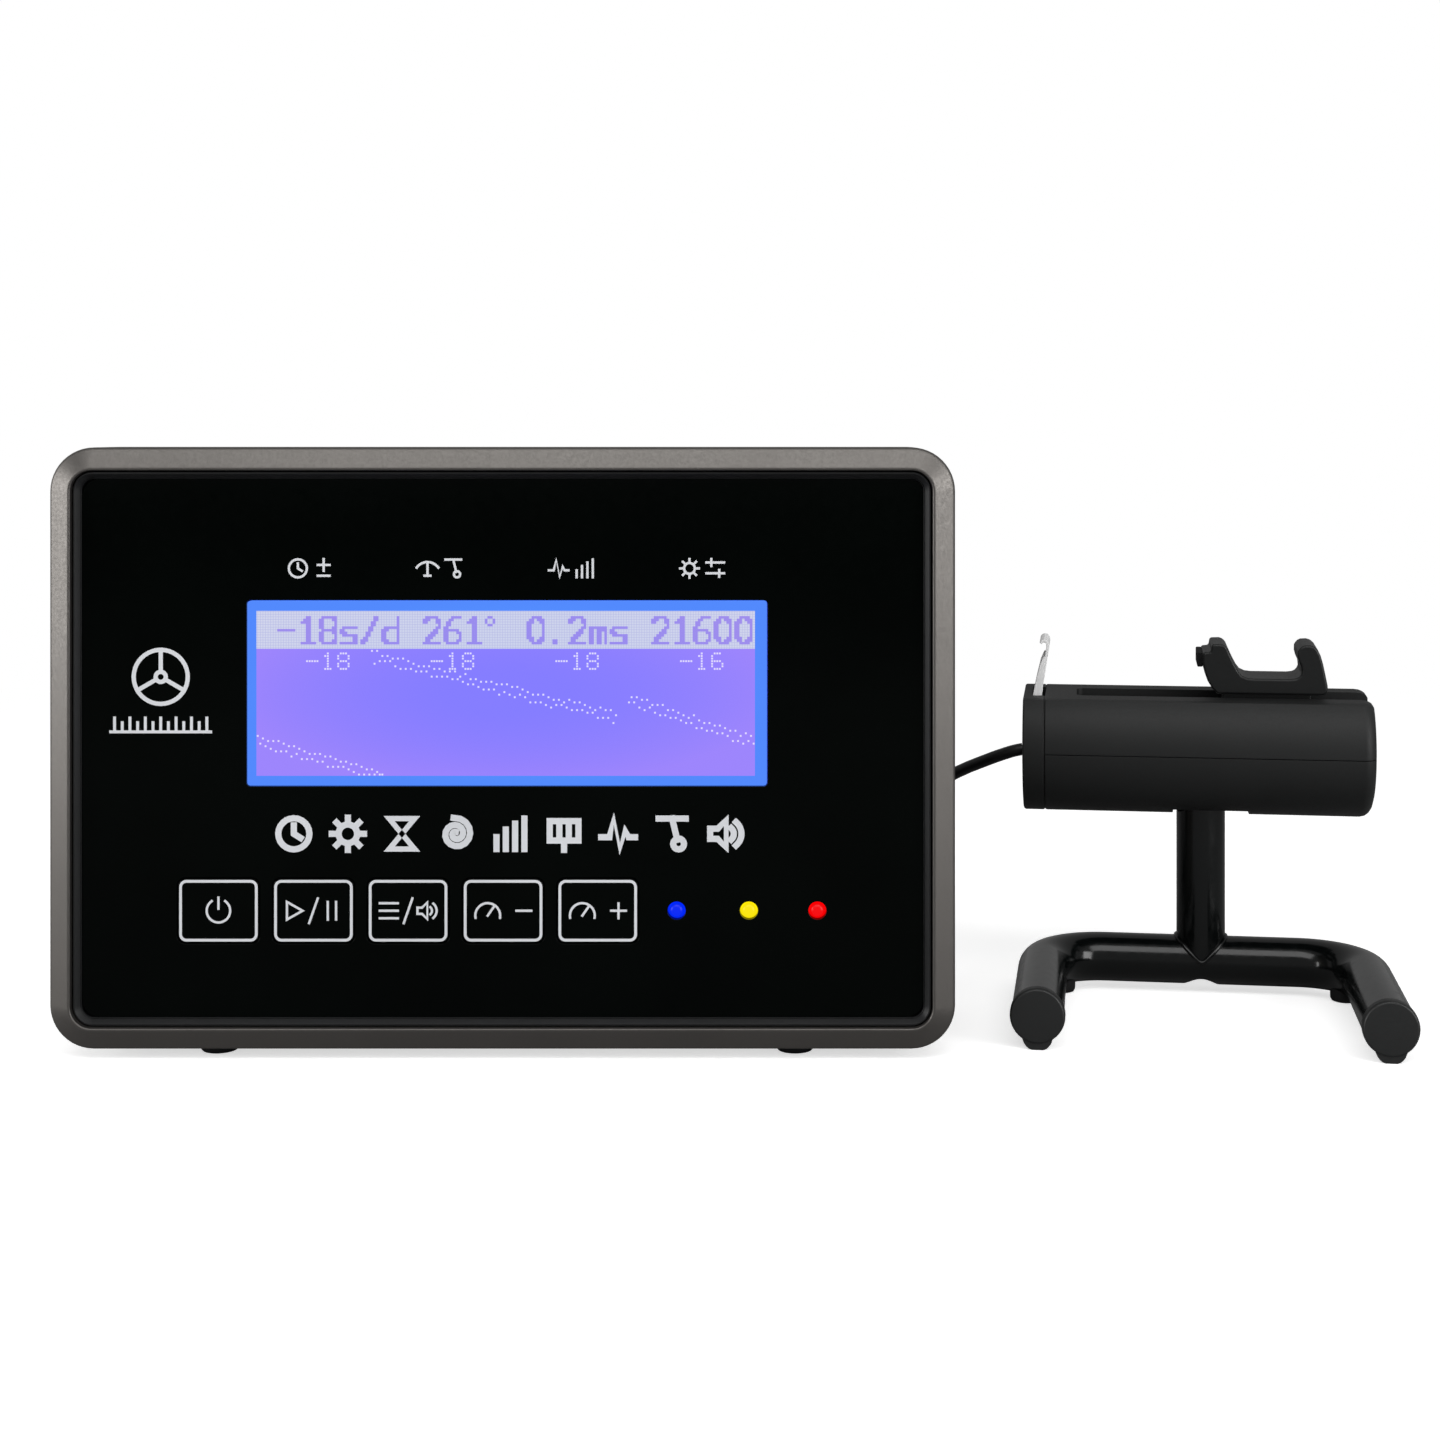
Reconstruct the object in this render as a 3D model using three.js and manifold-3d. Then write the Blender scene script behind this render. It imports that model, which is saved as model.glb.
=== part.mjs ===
// Timegrapher: a monitor and a microphone test stand, joined by a cable.
// Millimetres, +Z up, -Y is the front that the user faces.
import * as THREE from 'three';
import { mergeVertices } from 'three/addons/utils/BufferGeometryUtils.js';
import Module from 'manifold-3d';

const wasm = await Module();
wasm.setup();

// ---------- driving dimensions ----------
const GAP = 0.3; // between neighbouring pieces

// Monitor. x and z of what is on its face are measured from the middle of the face.
const MONITOR_X = -75.2;
const FACE_Z = 81.15;
const FRAME = { w: 235.2, h: 156.3, r: 11.4, depth: 24, rim: 6, slope: { back: 2.4, wide: 5.4 } };
const CASE = { w: 231.2, h: 152.3, r: 9.4, back: 60, wall: 2.5 };
const PANEL = { w: 218.8, h: 139.9, r: 4.2, front: 3, back: 5.5 };
const TRIM = { w: 222.6, h: 143.7, r: 5.1, front: 1.2, back: 7.7 };
const DISPLAY = { w: 135.7, h: 48.6, x: 1.1, z: 14.2 };
const KEY = { w: 21.1, h: 16.7, r: 2, z: -42.3, travel: 0.4 };
const KEY_X = {
  key_power: -73.9,
  key_start_pause: -49.2,
  key_menu_sound: -24.6,
  key_value_minus: 0.1,
  key_value_plus: 24.7,
};
const LAMP_X = { led_blue: 45.2, led_yellow: 64, led_red: 81.8 };
const LAMP_R = 2.1;
const CASE_SCREW = { x: 107.6, z: 68.15 };
const FOOT = { x: 76, front: 13, rear: 50, r: 5, stem: 2 };
const JACK = { x: -34.8, z: 35 - FACE_Z };
const INLET = { x: 70, z: 35 - FACE_Z };

// Stand. Its own frame stands at the foot of the post, turned a little towards the monitor.
const STAND = { x: 119.6, y: 75, turn: -8 };
const TUBE = { r: 7, bore: 5.5, z: 9, leg_x: 45.5, leg_y: -67, bend: 18 };
const PAD = { r: 4.2, x: 40.5, y: -6.5 };
const POST_TOP = 60;

// Head of the stand, a barrel along x with a flat top.
const HEAD = { x0: -45, x1: 48.2, z: 72, r: 19.9, wall: 2.2, flat: 86.9 };
const CAP_X = -51.3;
const TILT_Z = 69.5; // the head tilts about this line, which is also the cable's
const LEAN = 3.5; // degrees that the head leans towards the user at rest
const MOUTH = { x0: -8.2, x1: 13.7, half: 9.6 }; // opening for the post
const SLOT = { x0: -36, x1: 43, y: 6 };
const HUB_R = 6.5;
const SHELL_SCREW = { x: [-26, 34], y: 13, ledge: 64 };
const AXLE_R = 4;

// Clamp, as it stands in the rest pose: outline in x and height above the flat top.
const CLAMP_Y = 7.3;
const CLAMP = [
  [3.6, 1.9], [0.9, 6], [0.2, 9.5], [0.2, 13.2], [2.5, 13.5], [2.7, 15.7], [6.6, 15.7],
  [8, 12.5], [10.5, 7.5], [12.4, 5.8], [26.8, 5.8], [28.2, 7.3], [28, 9.5], [27.2, 11.5],
  [27.1, 13.8], [28.3, 15.4], [31.4, 15.7], [33, 14], [34.3, 10], [35.6, 3.5], [34.8, 1.9],
];

// Cable.
const CORD_R = 1.8;
const COIL = { x: -45, y: 92, middle: 20, half: 5.6, high: 7.6, outer_turn: 23.6 };

// ---------- colours ----------
const GUNMETAL = 0x77767a;
const BLACK = 0x0b0c0d;
const SHELL = 0x242526;
const GRIP = 0x2a2b2b;
const STEEL = 0xc8cacc;
const RUBBER = 0x1b1b1c;
const BOARD = 0x1d5134;

// ---------- solids ----------
function toSolid(geometry) {
  const bare = geometry.clone();
  bare.deleteAttribute('normal');
  bare.deleteAttribute('uv');
  const merged = mergeVertices(bare, 1e-4);
  const index = merged.index.array;
  const kept = [];
  for (let i = 0; i < index.length; i += 3) {
    const [a, b, c] = [index[i], index[i + 1], index[i + 2]];
    if (a !== b && b !== c && c !== a) {
      kept.push(a, b, c);
    }
  }
  const vertProperties = new Float32Array(merged.attributes.position.array);
  return new wasm.Manifold(new wasm.Mesh({ numProp: 3, vertProperties, triVerts: new Uint32Array(kept) }));
}

function toGeometry(solid) {
  const mesh = solid.getMesh();
  const geometry = new THREE.BufferGeometry();
  geometry.setAttribute('position', new THREE.BufferAttribute(new Float32Array(mesh.vertProperties), 3));
  geometry.setIndex(new THREE.BufferAttribute(new Uint32Array(mesh.triVerts), 1));
  return geometry;
}

function add(...solids) {
  return solids.reduce((whole, solid) => whole.add(solid));
}

function cut(solid, ...tools) {
  return tools.reduce((left, tool) => left.subtract(tool), solid);
}

function box(x0, x1, y0, y1, z0, z1) {
  const geometry = new THREE.BoxGeometry(x1 - x0, y1 - y0, z1 - z0);
  geometry.translate((x0 + x1) / 2, (y0 + y1) / 2, (z0 + z1) / 2);
  return toSolid(geometry);
}

// A solid of revolution. Its profile is [radius, distance along the axis], anticlockwise from the axis.
function turned(profile, axis, at, sides = 20) {
  const points = profile.map(([r, along]) => new THREE.Vector2(r, along));
  const geometry = new THREE.LatheGeometry(points, sides);
  if (axis === 'x') {
    geometry.rotateZ(-Math.PI / 2);
  }
  if (axis === 'z') {
    geometry.rotateX(Math.PI / 2);
  }
  geometry.translate(...at);
  return toSolid(geometry);
}

function rod(r, from, to, axis, at, sides = 20) {
  return turned([[0, from], [r, from], [r, to], [0, to]], axis, at, sides);
}

function rounded(w, h, r, x = 0, z = 0, points = 6) {
  const corners = [[1, 1, 0], [-1, 1, 90], [-1, -1, 180], [1, -1, 270]];
  const outline = [];
  for (const [sx, sz, start] of corners) {
    for (let i = 0; i <= points; i += 1) {
      const a = THREE.MathUtils.degToRad(start + (90 * i) / points);
      const px = x + sx * (w / 2 - r) + r * Math.cos(a);
      const pz = z + sz * (h / 2 - r) + r * Math.sin(a);
      outline.push(new THREE.Vector2(px, pz));
    }
  }
  return new THREE.Shape(outline);
}

// A plate parallel to the monitor's face, from depth y0 to y1.
// Its edges slope in by inset over the bevel's depth.
function plate(shape, y0, y1, bevel = 0, inset = bevel) {
  const geometry = new THREE.ExtrudeGeometry(shape, {
    depth: y1 - y0 - 2 * bevel,
    bevelEnabled: bevel > 0,
    bevelThickness: bevel,
    bevelSize: inset,
    bevelOffset: -inset,
    bevelSegments: 1,
  });
  geometry.rotateX(Math.PI / 2);
  geometry.translate(0, y1 - bevel, 0);
  return toSolid(geometry);
}

// A route that passes through its points in equal steps, so a straight run needs no points between.
class Route extends THREE.Curve {
  constructor(points) {
    super();
    this.points = points;
  }

  getPoint(t) {
    const last = this.points.length - 1;
    const i = Math.min(Math.floor(t * last), last - 1);
    return this.points[i].clone().lerp(this.points[i + 1], t * last - i);
  }

  getPointAt(t) {
    return this.getPoint(t);
  }

  getTangentAt(t) {
    return this.getTangent(t);
  }
}

function tube(points, r, sides, bore = 0) {
  const section = new THREE.Shape(circle(r, sides));
  if (bore > 0) {
    section.holes.push(new THREE.Path(circle(bore, sides)));
  }
  const extrudePath = new Route(points);
  const geometry = new THREE.ExtrudeGeometry(section, { extrudePath, steps: points.length - 1 });
  return toSolid(geometry);
}

function circle(r, sides) {
  const points = [];
  for (let i = 0; i < sides; i += 1) {
    const a = (2 * Math.PI * (i + 0.5)) / sides;
    points.push(new THREE.Vector2(r * Math.cos(a), r * Math.sin(a)));
  }
  return points;
}

// ---------- assembly ----------
const root = new THREE.Group();
root.name = 'timegrapher';
const onMonitor = new THREE.Matrix4().makeTranslation(MONITOR_X, 0, FACE_Z);
const onStand = new THREE.Matrix4()
  .makeTranslation(STAND.x, STAND.y, 0)
  .multiply(new THREE.Matrix4().makeRotationZ(THREE.MathUtils.degToRad(STAND.turn)));
const onHead = onStand
  .clone()
  .multiply(new THREE.Matrix4().makeTranslation(0, 0, TILT_Z))
  .multiply(new THREE.Matrix4().makeRotationX(THREE.MathUtils.degToRad(LEAN)))
  .multiply(new THREE.Matrix4().makeTranslation(0, 0, -TILT_Z));
const onTable = new THREE.Matrix4();

function piece(name, solid, color, place, metalness = 0, roughness = 0.5) {
  const geometry = toGeometry(solid);
  geometry.applyMatrix4(place);
  const flat = geometry.toNonIndexed();
  flat.computeVertexNormals();
  const material = new THREE.MeshStandardMaterial({ color, metalness, roughness });
  material.name = name;
  const mesh = new THREE.Mesh(flat, material);
  mesh.name = name;
  root.add(mesh);
}

// ---------- monitor ----------
function ring(outer, inner, y0, y1) {
  outer.holes.push(new THREE.Path(inner.getPoints()));
  return plate(outer, y0, y1);
}

const corners = [[-1, -1], [1, -1], [-1, 1], [1, 1]];

function makeFrame() {
  const inner = { w: FRAME.w - 2 * FRAME.rim, h: FRAME.h - 2 * FRAME.rim };
  const outside = rounded(FRAME.w, FRAME.h, FRAME.r);
  const sloped = plate(outside, 0, 12, FRAME.slope.back, FRAME.slope.wide);
  const opening = plate(rounded(inner.w, inner.h, FRAME.r - FRAME.rim), -1, FRAME.depth + 1);
  let frame = cut(add(sloped, plate(outside, 5, FRAME.depth)), opening);
  frame = add(frame, ring(rounded(inner.w + 2, inner.h + 2, 6), rounded(205, 126, 4), 8, 14));
  for (const [sx, sz] of corners) {
    const at = [sx * CASE_SCREW.x, 0, sz * CASE_SCREW.z];
    frame = add(frame, rod(5, 13, FRAME.depth, 'y', at, 16));
    frame = cut(frame, rod(1.7, 10.5, FRAME.depth + 1, 'y', at, 12));
  }
  for (const side of [-1, 1]) {
    const at = [side * FOOT.x, FOOT.front, 0];
    frame = cut(frame, rod(FOOT.stem + GAP, -FRAME.h / 2 - 1, -FRAME.h / 2 + 3.2, 'z', at, 12));
  }
  return frame;
}

function makeCase() {
  const solid = plate(rounded(CASE.w, CASE.h, CASE.r), FRAME.depth + GAP, CASE.back, 1.5);
  const room = rounded(CASE.w - 2 * CASE.wall, CASE.h - 2 * CASE.wall, CASE.r - CASE.wall);
  let shell = cut(solid, plate(room, FRAME.depth - 5, CASE.back - CASE.wall));
  const inside = CASE.back - CASE.wall + 0.5;
  for (const [sx, sz] of corners) {
    const at = [sx * CASE_SCREW.x, 0, sz * CASE_SCREW.z];
    shell = add(shell, rod(4.8, FRAME.depth + GAP, inside, 'y', at, 16));
    shell = cut(shell, rod(1.7, FRAME.depth - 1, 36, 'y', at, 12), rod(3.3, 34, CASE.back + 1, 'y', at, 16));
    shell = add(shell, rod(3.5, 33.9, inside, 'y', [sx * 78, 0, sz > 0 ? 48 : -34], 12));
  }
  for (const side of [-1, 1]) {
    const at = [side * FOOT.x, FOOT.rear, 0];
    shell = cut(shell, rod(FOOT.stem + GAP, -CASE.h / 2 - 1, -CASE.h / 2 + 4, 'z', at, 12));
  }
  shell = cut(
    shell,
    rod(4.3, inside - 3, CASE.back + 1, 'y', [JACK.x, 0, JACK.z]),
    rod(5.6, inside - 3, CASE.back + 1, 'y', [INLET.x, 0, INLET.z]),
  );
  for (let i = 0; i < 6; i += 1) {
    shell = cut(shell, plate(rounded(60, 2.6, 1.2, 0, 22 + 7 * i, 2), inside - 3, CASE.back + 1));
  }
  return shell;
}

function makePanel() {
  const face = rounded(PANEL.w, PANEL.h, PANEL.r);
  const openings = [rounded(DISPLAY.w, DISPLAY.h, 1, DISPLAY.x, DISPLAY.z, 3)];
  for (const x of Object.values(KEY_X)) {
    openings.push(rounded(KEY.w + 2 * GAP, KEY.h + 2 * GAP, KEY.r + GAP, x, KEY.z, 4));
  }
  for (const x of Object.values(LAMP_X)) {
    const r = LAMP_R + GAP;
    openings.push(rounded(2 * r, 2 * r, r, x, KEY.z, 4));
  }
  for (const opening of openings) {
    face.holes.push(new THREE.Path(opening.getPoints()));
  }
  return plate(face, PANEL.front, PANEL.back);
}

piece('front_frame', makeFrame(), GUNMETAL, onMonitor, 0.7, 0.4);
piece('rear_case', makeCase(), GUNMETAL, onMonitor, 0.7, 0.5);
piece('front_panel', makePanel(), BLACK, onMonitor, 0, 0.1);

const trimLip = ring(rounded(TRIM.w, TRIM.h, TRIM.r), rounded(214, 135, 3), 5.8, TRIM.back);
const trimRim = ring(rounded(TRIM.w, TRIM.h, TRIM.r), rounded(219.4, 140.5, 4.5), TRIM.front, 6.2);
piece('panel_trim', add(trimLip, trimRim), BLACK, onMonitor, 0, 0.5);

const windowShape = rounded(DISPLAY.w - 2 * GAP, DISPLAY.h - 2 * GAP, 0.8, DISPLAY.x, DISPLAY.z, 3);
piece('display_window', plate(windowShape, PANEL.front, 5.3), 0x7a7cff, onMonitor, 0, 0.1);
const glassShape = rounded(142, 55, 1, DISPLAY.x, DISPLAY.z, 2);
piece('display_glass', plate(glassShape, 6, 8.8), 0x5b5bd0, onMonitor, 0, 0.2);

function board(x0, x1, z0, z1, front, chips) {
  const back = front + 1.6;
  let whole = box(x0, x1, front, back, z0, z1);
  for (const [x, z, w, h, tall] of chips) {
    const side = tall > 0 ? [front - tall, front + 0.4] : [back - 0.4, back - tall];
    whole = add(whole, box(x - w / 2, x + w / 2, side[0], side[1], z - h / 2, z + h / 2));
  }
  return whole;
}

const displayChips = [[-40, 14, 12, 12, -2], [0, 14, 12, 12, -2], [40, 14, 12, 12, -2], [0, -10, 60, 5, -4]];
const keySwitches = Object.values(KEY_X).map((x) => [x, KEY.z, 6.2, 6.2, 1.4]);
const mainChips = [[0, 5, 22, 22, 2.4], [38, 20, 14, 10, 2], [-38, 22, 20, 12, 3], [60, -24, 16, 16, -14]];
piece('display_board', board(-74, 76, -17.5, 46, 9.2, displayChips), BOARD, onMonitor);
piece('key_board', board(-95, 95, -55, -30, 12, keySwitches), BOARD, onMonitor);
piece('main_board', board(-85, 85, -40, 55, 32, mainChips), BOARD, onMonitor);

const buzzerProfile = [[0, 26], [1.2, 26], [1.2, 25], [6, 25], [6, 31.7], [0, 31.7]];
piece('buzzer', turned(buzzerProfile, 'y', [-60, 0, -20]), BLACK, onMonitor, 0, 0.6);

for (const [name, x] of Object.entries(KEY_X)) {
  const face = plate(rounded(KEY.w, KEY.h, KEY.r, x, KEY.z, 4), PANEL.front, 6.3);
  const flange = plate(rounded(23.5, 19, 2.5, x, KEY.z, 2), 5.8, 6.8);
  const plunger = rod(2.5, 6.5, 12 - 1.4 - KEY.travel - 0.2, 'y', [x, 0, KEY.z], 12);
  piece(name, add(face, flange, plunger), BLACK, onMonitor, 0, 0.12);
}

const lampColors = { led_blue: 0x1a28ff, led_yellow: 0xf2e000, led_red: 0xe01010 };
const lampProfile = [
  [0, 2.6], [1.5, 2.8], [LAMP_R, 3.4], [LAMP_R, 6], [2.9, 6], [2.9, 7.2], [LAMP_R, 7.2],
  [LAMP_R, 11.7], [0, 11.7],
];
for (const [name, x] of Object.entries(LAMP_X)) {
  piece(name, turned(lampProfile, 'y', [x, 0, KEY.z], 16), lampColors[name], onMonitor, 0, 0.3);
}

const caseScrewProfile = [
  [0, 12.5], [1.4, 12.5], [1.4, 34.3], [2.9, 34.3], [2.9, 37], [1.3, 37], [1.3, 35.8], [0, 35.8],
];
corners.forEach(([sx, sz], i) => {
  const at = [sx * CASE_SCREW.x, 0, sz * CASE_SCREW.z];
  piece(`case_screw_${i + 1}`, turned(caseScrewProfile, 'y', at, 12), STEEL, onMonitor, 0.9, 0.4);
});

const footPlaces = [
  [-1, FOOT.front, FRAME.h],
  [1, FOOT.front, FRAME.h],
  [-1, FOOT.rear, CASE.h],
  [1, FOOT.rear, CASE.h],
];
footPlaces.forEach(([side, y, height], i) => {
  const top = FACE_Z - height / 2 - GAP;
  const { r, stem } = FOOT;
  const profile = [[0, 0], [r - 0.8, 0], [r, 0.8], [r, top], [stem, top], [stem, top + 3], [0, top + 3]];
  const foot = turned(profile, 'z', [side * FOOT.x + MONITOR_X, y, 0], 20);
  piece(`foot_${i + 1}`, foot, RUBBER, onTable, 0, 0.9);
});

const jackProfile = [
  [0, 44], [5.5, 44], [5.5, 57.2], [4, 57.2], [4, 62.4], [2.15, 62.4], [2.15, 46], [0, 46],
];
piece('microphone_jack', turned(jackProfile, 'y', [JACK.x, 0, JACK.z]), STEEL, onMonitor, 0.9, 0.3);

const inletProfile = [
  [0, 47], [5.3, 47], [5.3, 60.3], [6.8, 60.3], [6.8, 61.8], [3.2, 61.8],
  [3.2, 50], [1, 50], [1, 60.5], [0, 60.5],
];
piece('power_inlet', turned(inletProfile, 'y', [INLET.x, 0, INLET.z]), BLACK, onMonitor, 0, 0.5);

// ---------- stand ----------
function baseRoute() {
  const { leg_x: x, leg_y: y, bend, z } = TUBE;
  const points = [new THREE.Vector3(-x, y, z)];
  for (const side of [-1, 1]) {
    for (let i = 0; i <= 8; i += 1) {
      const a = THREE.MathUtils.degToRad(side < 0 ? 180 - (90 * i) / 8 : 90 - (90 * i) / 8);
      points.push(new THREE.Vector3(side * (x - bend) + bend * Math.cos(a), -bend + bend * Math.sin(a), z));
    }
  }
  points.push(new THREE.Vector3(x, y, z));
  return points;
}

const onAxis = [0, 0, TUBE.z];
const base = cut(
  tube(baseRoute(), TUBE.r, 20, TUBE.bore),
  rod(5.3, 0, TUBE.z, 'z', [0, 0, 0]),
  rod(2.3, TUBE.z, TUBE.z + 9, 'z', [0, 0, 0], 12),
);
piece('base_tube', base, BLACK, onStand, 0.3, 0.3);

const post = cut(
  rod(TUBE.r, TUBE.z, POST_TOP, 'z', [0, 0, 0], 24),
  rod(TUBE.r + GAP, -12, 12, 'x', onAxis, 32),
  rod(TUBE.bore, 34, POST_TOP + 1, 'z', [0, 0, 0], 20),
  rod(2.3, TUBE.z, 35, 'z', [0, 0, 0], 12),
);
piece('post_tube', post, BLACK, onStand, 0.3, 0.3);

const screwHead = TUBE.z + 0.2; // its lowest point, inside the base tube
const postScrewProfile = [
  [0, screwHead + 1.2], [1.8, screwHead + 1.2], [1.8, screwHead], [4, screwHead],
  [4, screwHead + 3], [2, screwHead + 3], [2, 31], [0, 31],
];
piece('post_screw', turned(postScrewProfile, 'z', [0, 0, 0], 16), STEEL, onStand, 0.9, 0.4);

// Each leg ends in a plug whose face carries a foot that reaches back under the tube.
const baseSkin = tube(baseRoute(), TUBE.r + GAP, 20);
const plugOutline = [
  [0, -70.4], [6.9, -70.4], [7.35, -69.9], [7.35, -67.3], [5.2, -67.3], [5.2, -59], [0, -59],
];
const footOutline = [
  [4.1, 5], [-4.1, 5], [-4.1, 4.2], [-3.8, 2.5], [-3, 1.1],
  [-1.7, 0], [1.7, 0], [3, 1.1], [3.8, 2.5], [4.1, 4.2],
];
for (const [name, side] of [['left', -1], ['right', 1]]) {
  const x = side * TUBE.leg_x;
  const outline = footOutline.map(([dx, z]) => new THREE.Vector2(x + dx, z));
  const foot = cut(plate(new THREE.Shape(outline), -70.1, -57), baseSkin);
  const plug = turned(plugOutline, 'y', [x, 0, TUBE.z], 24);
  piece(`leg_cap_${name}`, add(plug, foot), SHELL, onStand, 0, 0.5);
}
for (const [name, side] of [['left', -1], ['right', 1]]) {
  const outline = [[0, 0], [PAD.r - 1, 0], [PAD.r, 1], [PAD.r, 7], [0, 7]];
  const blank = turned(outline, 'z', [side * PAD.x, PAD.y, 0], 16);
  piece(`rear_pad_${name}`, cut(blank, baseSkin), RUBBER, onStand, 0, 0.9);
}

// ---------- head ----------
function barrel(r, x0, x1, sides = 48) {
  return rod(r, x0, x1, 'x', [0, 0, HEAD.z], sides);
}

// The opening that lets the post pass as the head tips back by up to 90 degrees.
function postOpening() {
  const { half } = MOUTH;
  const reach = 30;
  const outline = [new THREE.Vector2(-half, half), new THREE.Vector2(-half, -reach)];
  for (let i = 0; i <= 8; i += 1) {
    const a = THREE.MathUtils.degToRad(-90 + (90 * i) / 8);
    outline.push(new THREE.Vector2(reach * Math.cos(a), reach * Math.sin(a)));
  }
  outline.push(new THREE.Vector2(reach, half));
  const shape = new THREE.Shape(outline);
  const geometry = new THREE.ExtrudeGeometry(shape, { depth: MOUTH.x1 - MOUTH.x0, bevelEnabled: false });
  geometry.rotateX(Math.PI / 2);
  geometry.rotateZ(Math.PI / 2);
  geometry.translate(MOUTH.x0, 0, TILT_Z);
  return toSolid(geometry);
}

function headBody() {
  const end = [
    [0, HEAD.x0], [HEAD.r, HEAD.x0], [HEAD.r, HEAD.x1 - 3.4],
    [HEAD.r - 1, HEAD.x1 - 1], [HEAD.r - 3.4, HEAD.x1], [0, HEAD.x1],
  ];
  const outside = turned(end, 'x', [0, 0, HEAD.z], 48);
  const blank = cut(outside, box(-60, 60, -30, 30, HEAD.flat, HEAD.flat + 20));
  const room = cut(
    barrel(HEAD.r - HEAD.wall, HEAD.x0 - 1, HEAD.x1 - 3),
    box(-60, 60, -30, 30, HEAD.flat - HEAD.wall, HEAD.flat + 20),
  );
  let body = cut(blank, room);
  for (const [x0, x1] of [[MOUTH.x0 - 3.8, MOUTH.x0], [MOUTH.x1, MOUTH.x1 + 3.8]]) {
    const web = cut(barrel(HEAD.r - HEAD.wall + 0.4, x0, x1), box(-60, 60, -30, 30, HEAD.flat - 7.4, 100));
    body = add(body, web);
  }
  for (const x of SHELL_SCREW.x) {
    body = add(body, rod(3.6, 50, 90, 'z', [x, SHELL_SCREW.y, 0], 12).intersect(blank));
  }
  body = cut(body, rod(AXLE_R + GAP, -16, 22, 'x', [0, 0, TILT_Z], 20), postOpening());
  return cut(body, box(SLOT.x0, SLOT.x1, -SLOT.y, SLOT.y, HEAD.flat - 3, HEAD.flat + 3));
}

const seamGap = GAP / 2;
const head = headBody();
let upper = cut(head, box(-60, 60, -30, 30, 40, HEAD.z + seamGap));
let lower = cut(head, box(-60, 60, -30, 30, HEAD.z - seamGap, 100));
const { ledge } = SHELL_SCREW;
const shellScrewAt = SHELL_SCREW.x.map((x) => [x, SHELL_SCREW.y, 0]);
for (const at of shellScrewAt) {
  upper = cut(upper, rod(1.5, HEAD.z - 1, 80, 'z', at, 12));
  lower = cut(lower, rod(1.5, 45, HEAD.z + 1, 'z', at, 12), rod(2.9, 45, ledge, 'z', at, 16));
}
lower = cut(lower, box(-16, 22, -AXLE_R - GAP, AXLE_R + GAP, TILT_Z, HEAD.z + 1));
piece('upper_shell', upper, SHELL, onHead, 0, 0.6);
piece('lower_shell', lower, SHELL, onHead, 0, 0.6);

const shellScrewProfile = [
  [0, ledge - 1.3], [1.2, ledge - 1.3], [1.2, ledge - 2.3], [2.6, ledge - 2.3],
  [2.6, ledge - GAP], [1.2, ledge - GAP], [1.2, 79], [0, 79],
];
shellScrewAt.forEach((at, i) => {
  piece(`shell_screw_${i + 1}`, turned(shellScrewProfile, 'z', at, 12), STEEL, onHead, 0.9, 0.4);
});

const capFront = HEAD.x0 - GAP;
const capOutline = [
  [0, CAP_X], [HEAD.r - 0.6, CAP_X], [HEAD.r, CAP_X + 0.6], [HEAD.r, capFront], [0, capFront],
];
const endCap = cut(
  turned(capOutline, 'x', [0, 0, HEAD.z], 48),
  box(-60, 0, -30, 30, HEAD.flat, HEAD.flat + 20),
  rod(3.6, CAP_X - 1, capFront + 1, 'x', [0, 0, TILT_Z]),
  rod(HEAD.r - 5, CAP_X + 3.2, capFront + 1, 'x', [0, 0, HEAD.z - 1], 32),
  box(-48.9, -44, -7.4, 7.4, 80, 90),
);
piece('left_end_cap', endCap, SHELL, onHead, 0, 0.6);

const grommetProfile = [
  [2.1, CAP_X - 0.2], [3.3, CAP_X - 0.2], [3.3, CAP_X + 3.5], [4.6, CAP_X + 3.5],
  [4.6, CAP_X + 5.2], [2.1, CAP_X + 5.2], [2.1, CAP_X - 0.2],
];
piece('cable_grommet', turned(grommetProfile, 'x', [0, 0, TILT_Z], 16), RUBBER, onHead, 0, 0.9);

// Bent steel plate that the crown rests against: it leans to the right and its top curls back.
function contactPlate() {
  const middle = [
    [-46.6, 78], [-46.6, 84], [-46.5, 86.5], [-44.4, 100],
    [-44.2, 101.4], [-44.5, 102.4], [-45.3, 102.9], [-46.1, 102.6],
  ];
  const thick = 0.9;
  const left = [];
  const right = [];
  middle.forEach(([x, z], i) => {
    const before = middle[Math.max(i - 1, 0)];
    const after = middle[Math.min(i + 1, middle.length - 1)];
    const along = new THREE.Vector2(after[0] - before[0], after[1] - before[1]).normalize();
    left.push(new THREE.Vector2(x - (along.y * thick) / 2, z + (along.x * thick) / 2));
    right.push(new THREE.Vector2(x + (along.y * thick) / 2, z - (along.x * thick) / 2));
  });
  const blade = plate(new THREE.Shape([...right, ...left.reverse()]), -6.6, 6.6);
  const flange = [[-46.6, 80], [-46.5, 86.5], [-45.2, 95.5], [-46.3, 95.5], [-48.6, 86.5], [-48.6, 80]];
  const side = new THREE.Shape(flange.map(([x, z]) => new THREE.Vector2(x, z)));
  return add(blade, plate(side, -6.6, -5.7), plate(side, 5.7, 6.6));
}

piece('contact_plate', contactPlate(), STEEL, onHead, 0.9, 0.25);
piece('piezo_disc', rod(7, -45.6, -44.6, 'x', [0, 0, 69.5], 24), 0xb08d3c, onHead, 0.8, 0.4);

const preamp = add(
  box(-41, -29.9, -8, 12, 60, 61.6),
  box(-38, -32, 0, 8, 61.2, 63.6),
  box(-38, -34, -6, -3, 61.2, 65),
);
piece('preamp_board', preamp, BOARD, onHead, 0, 0.6);

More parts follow.
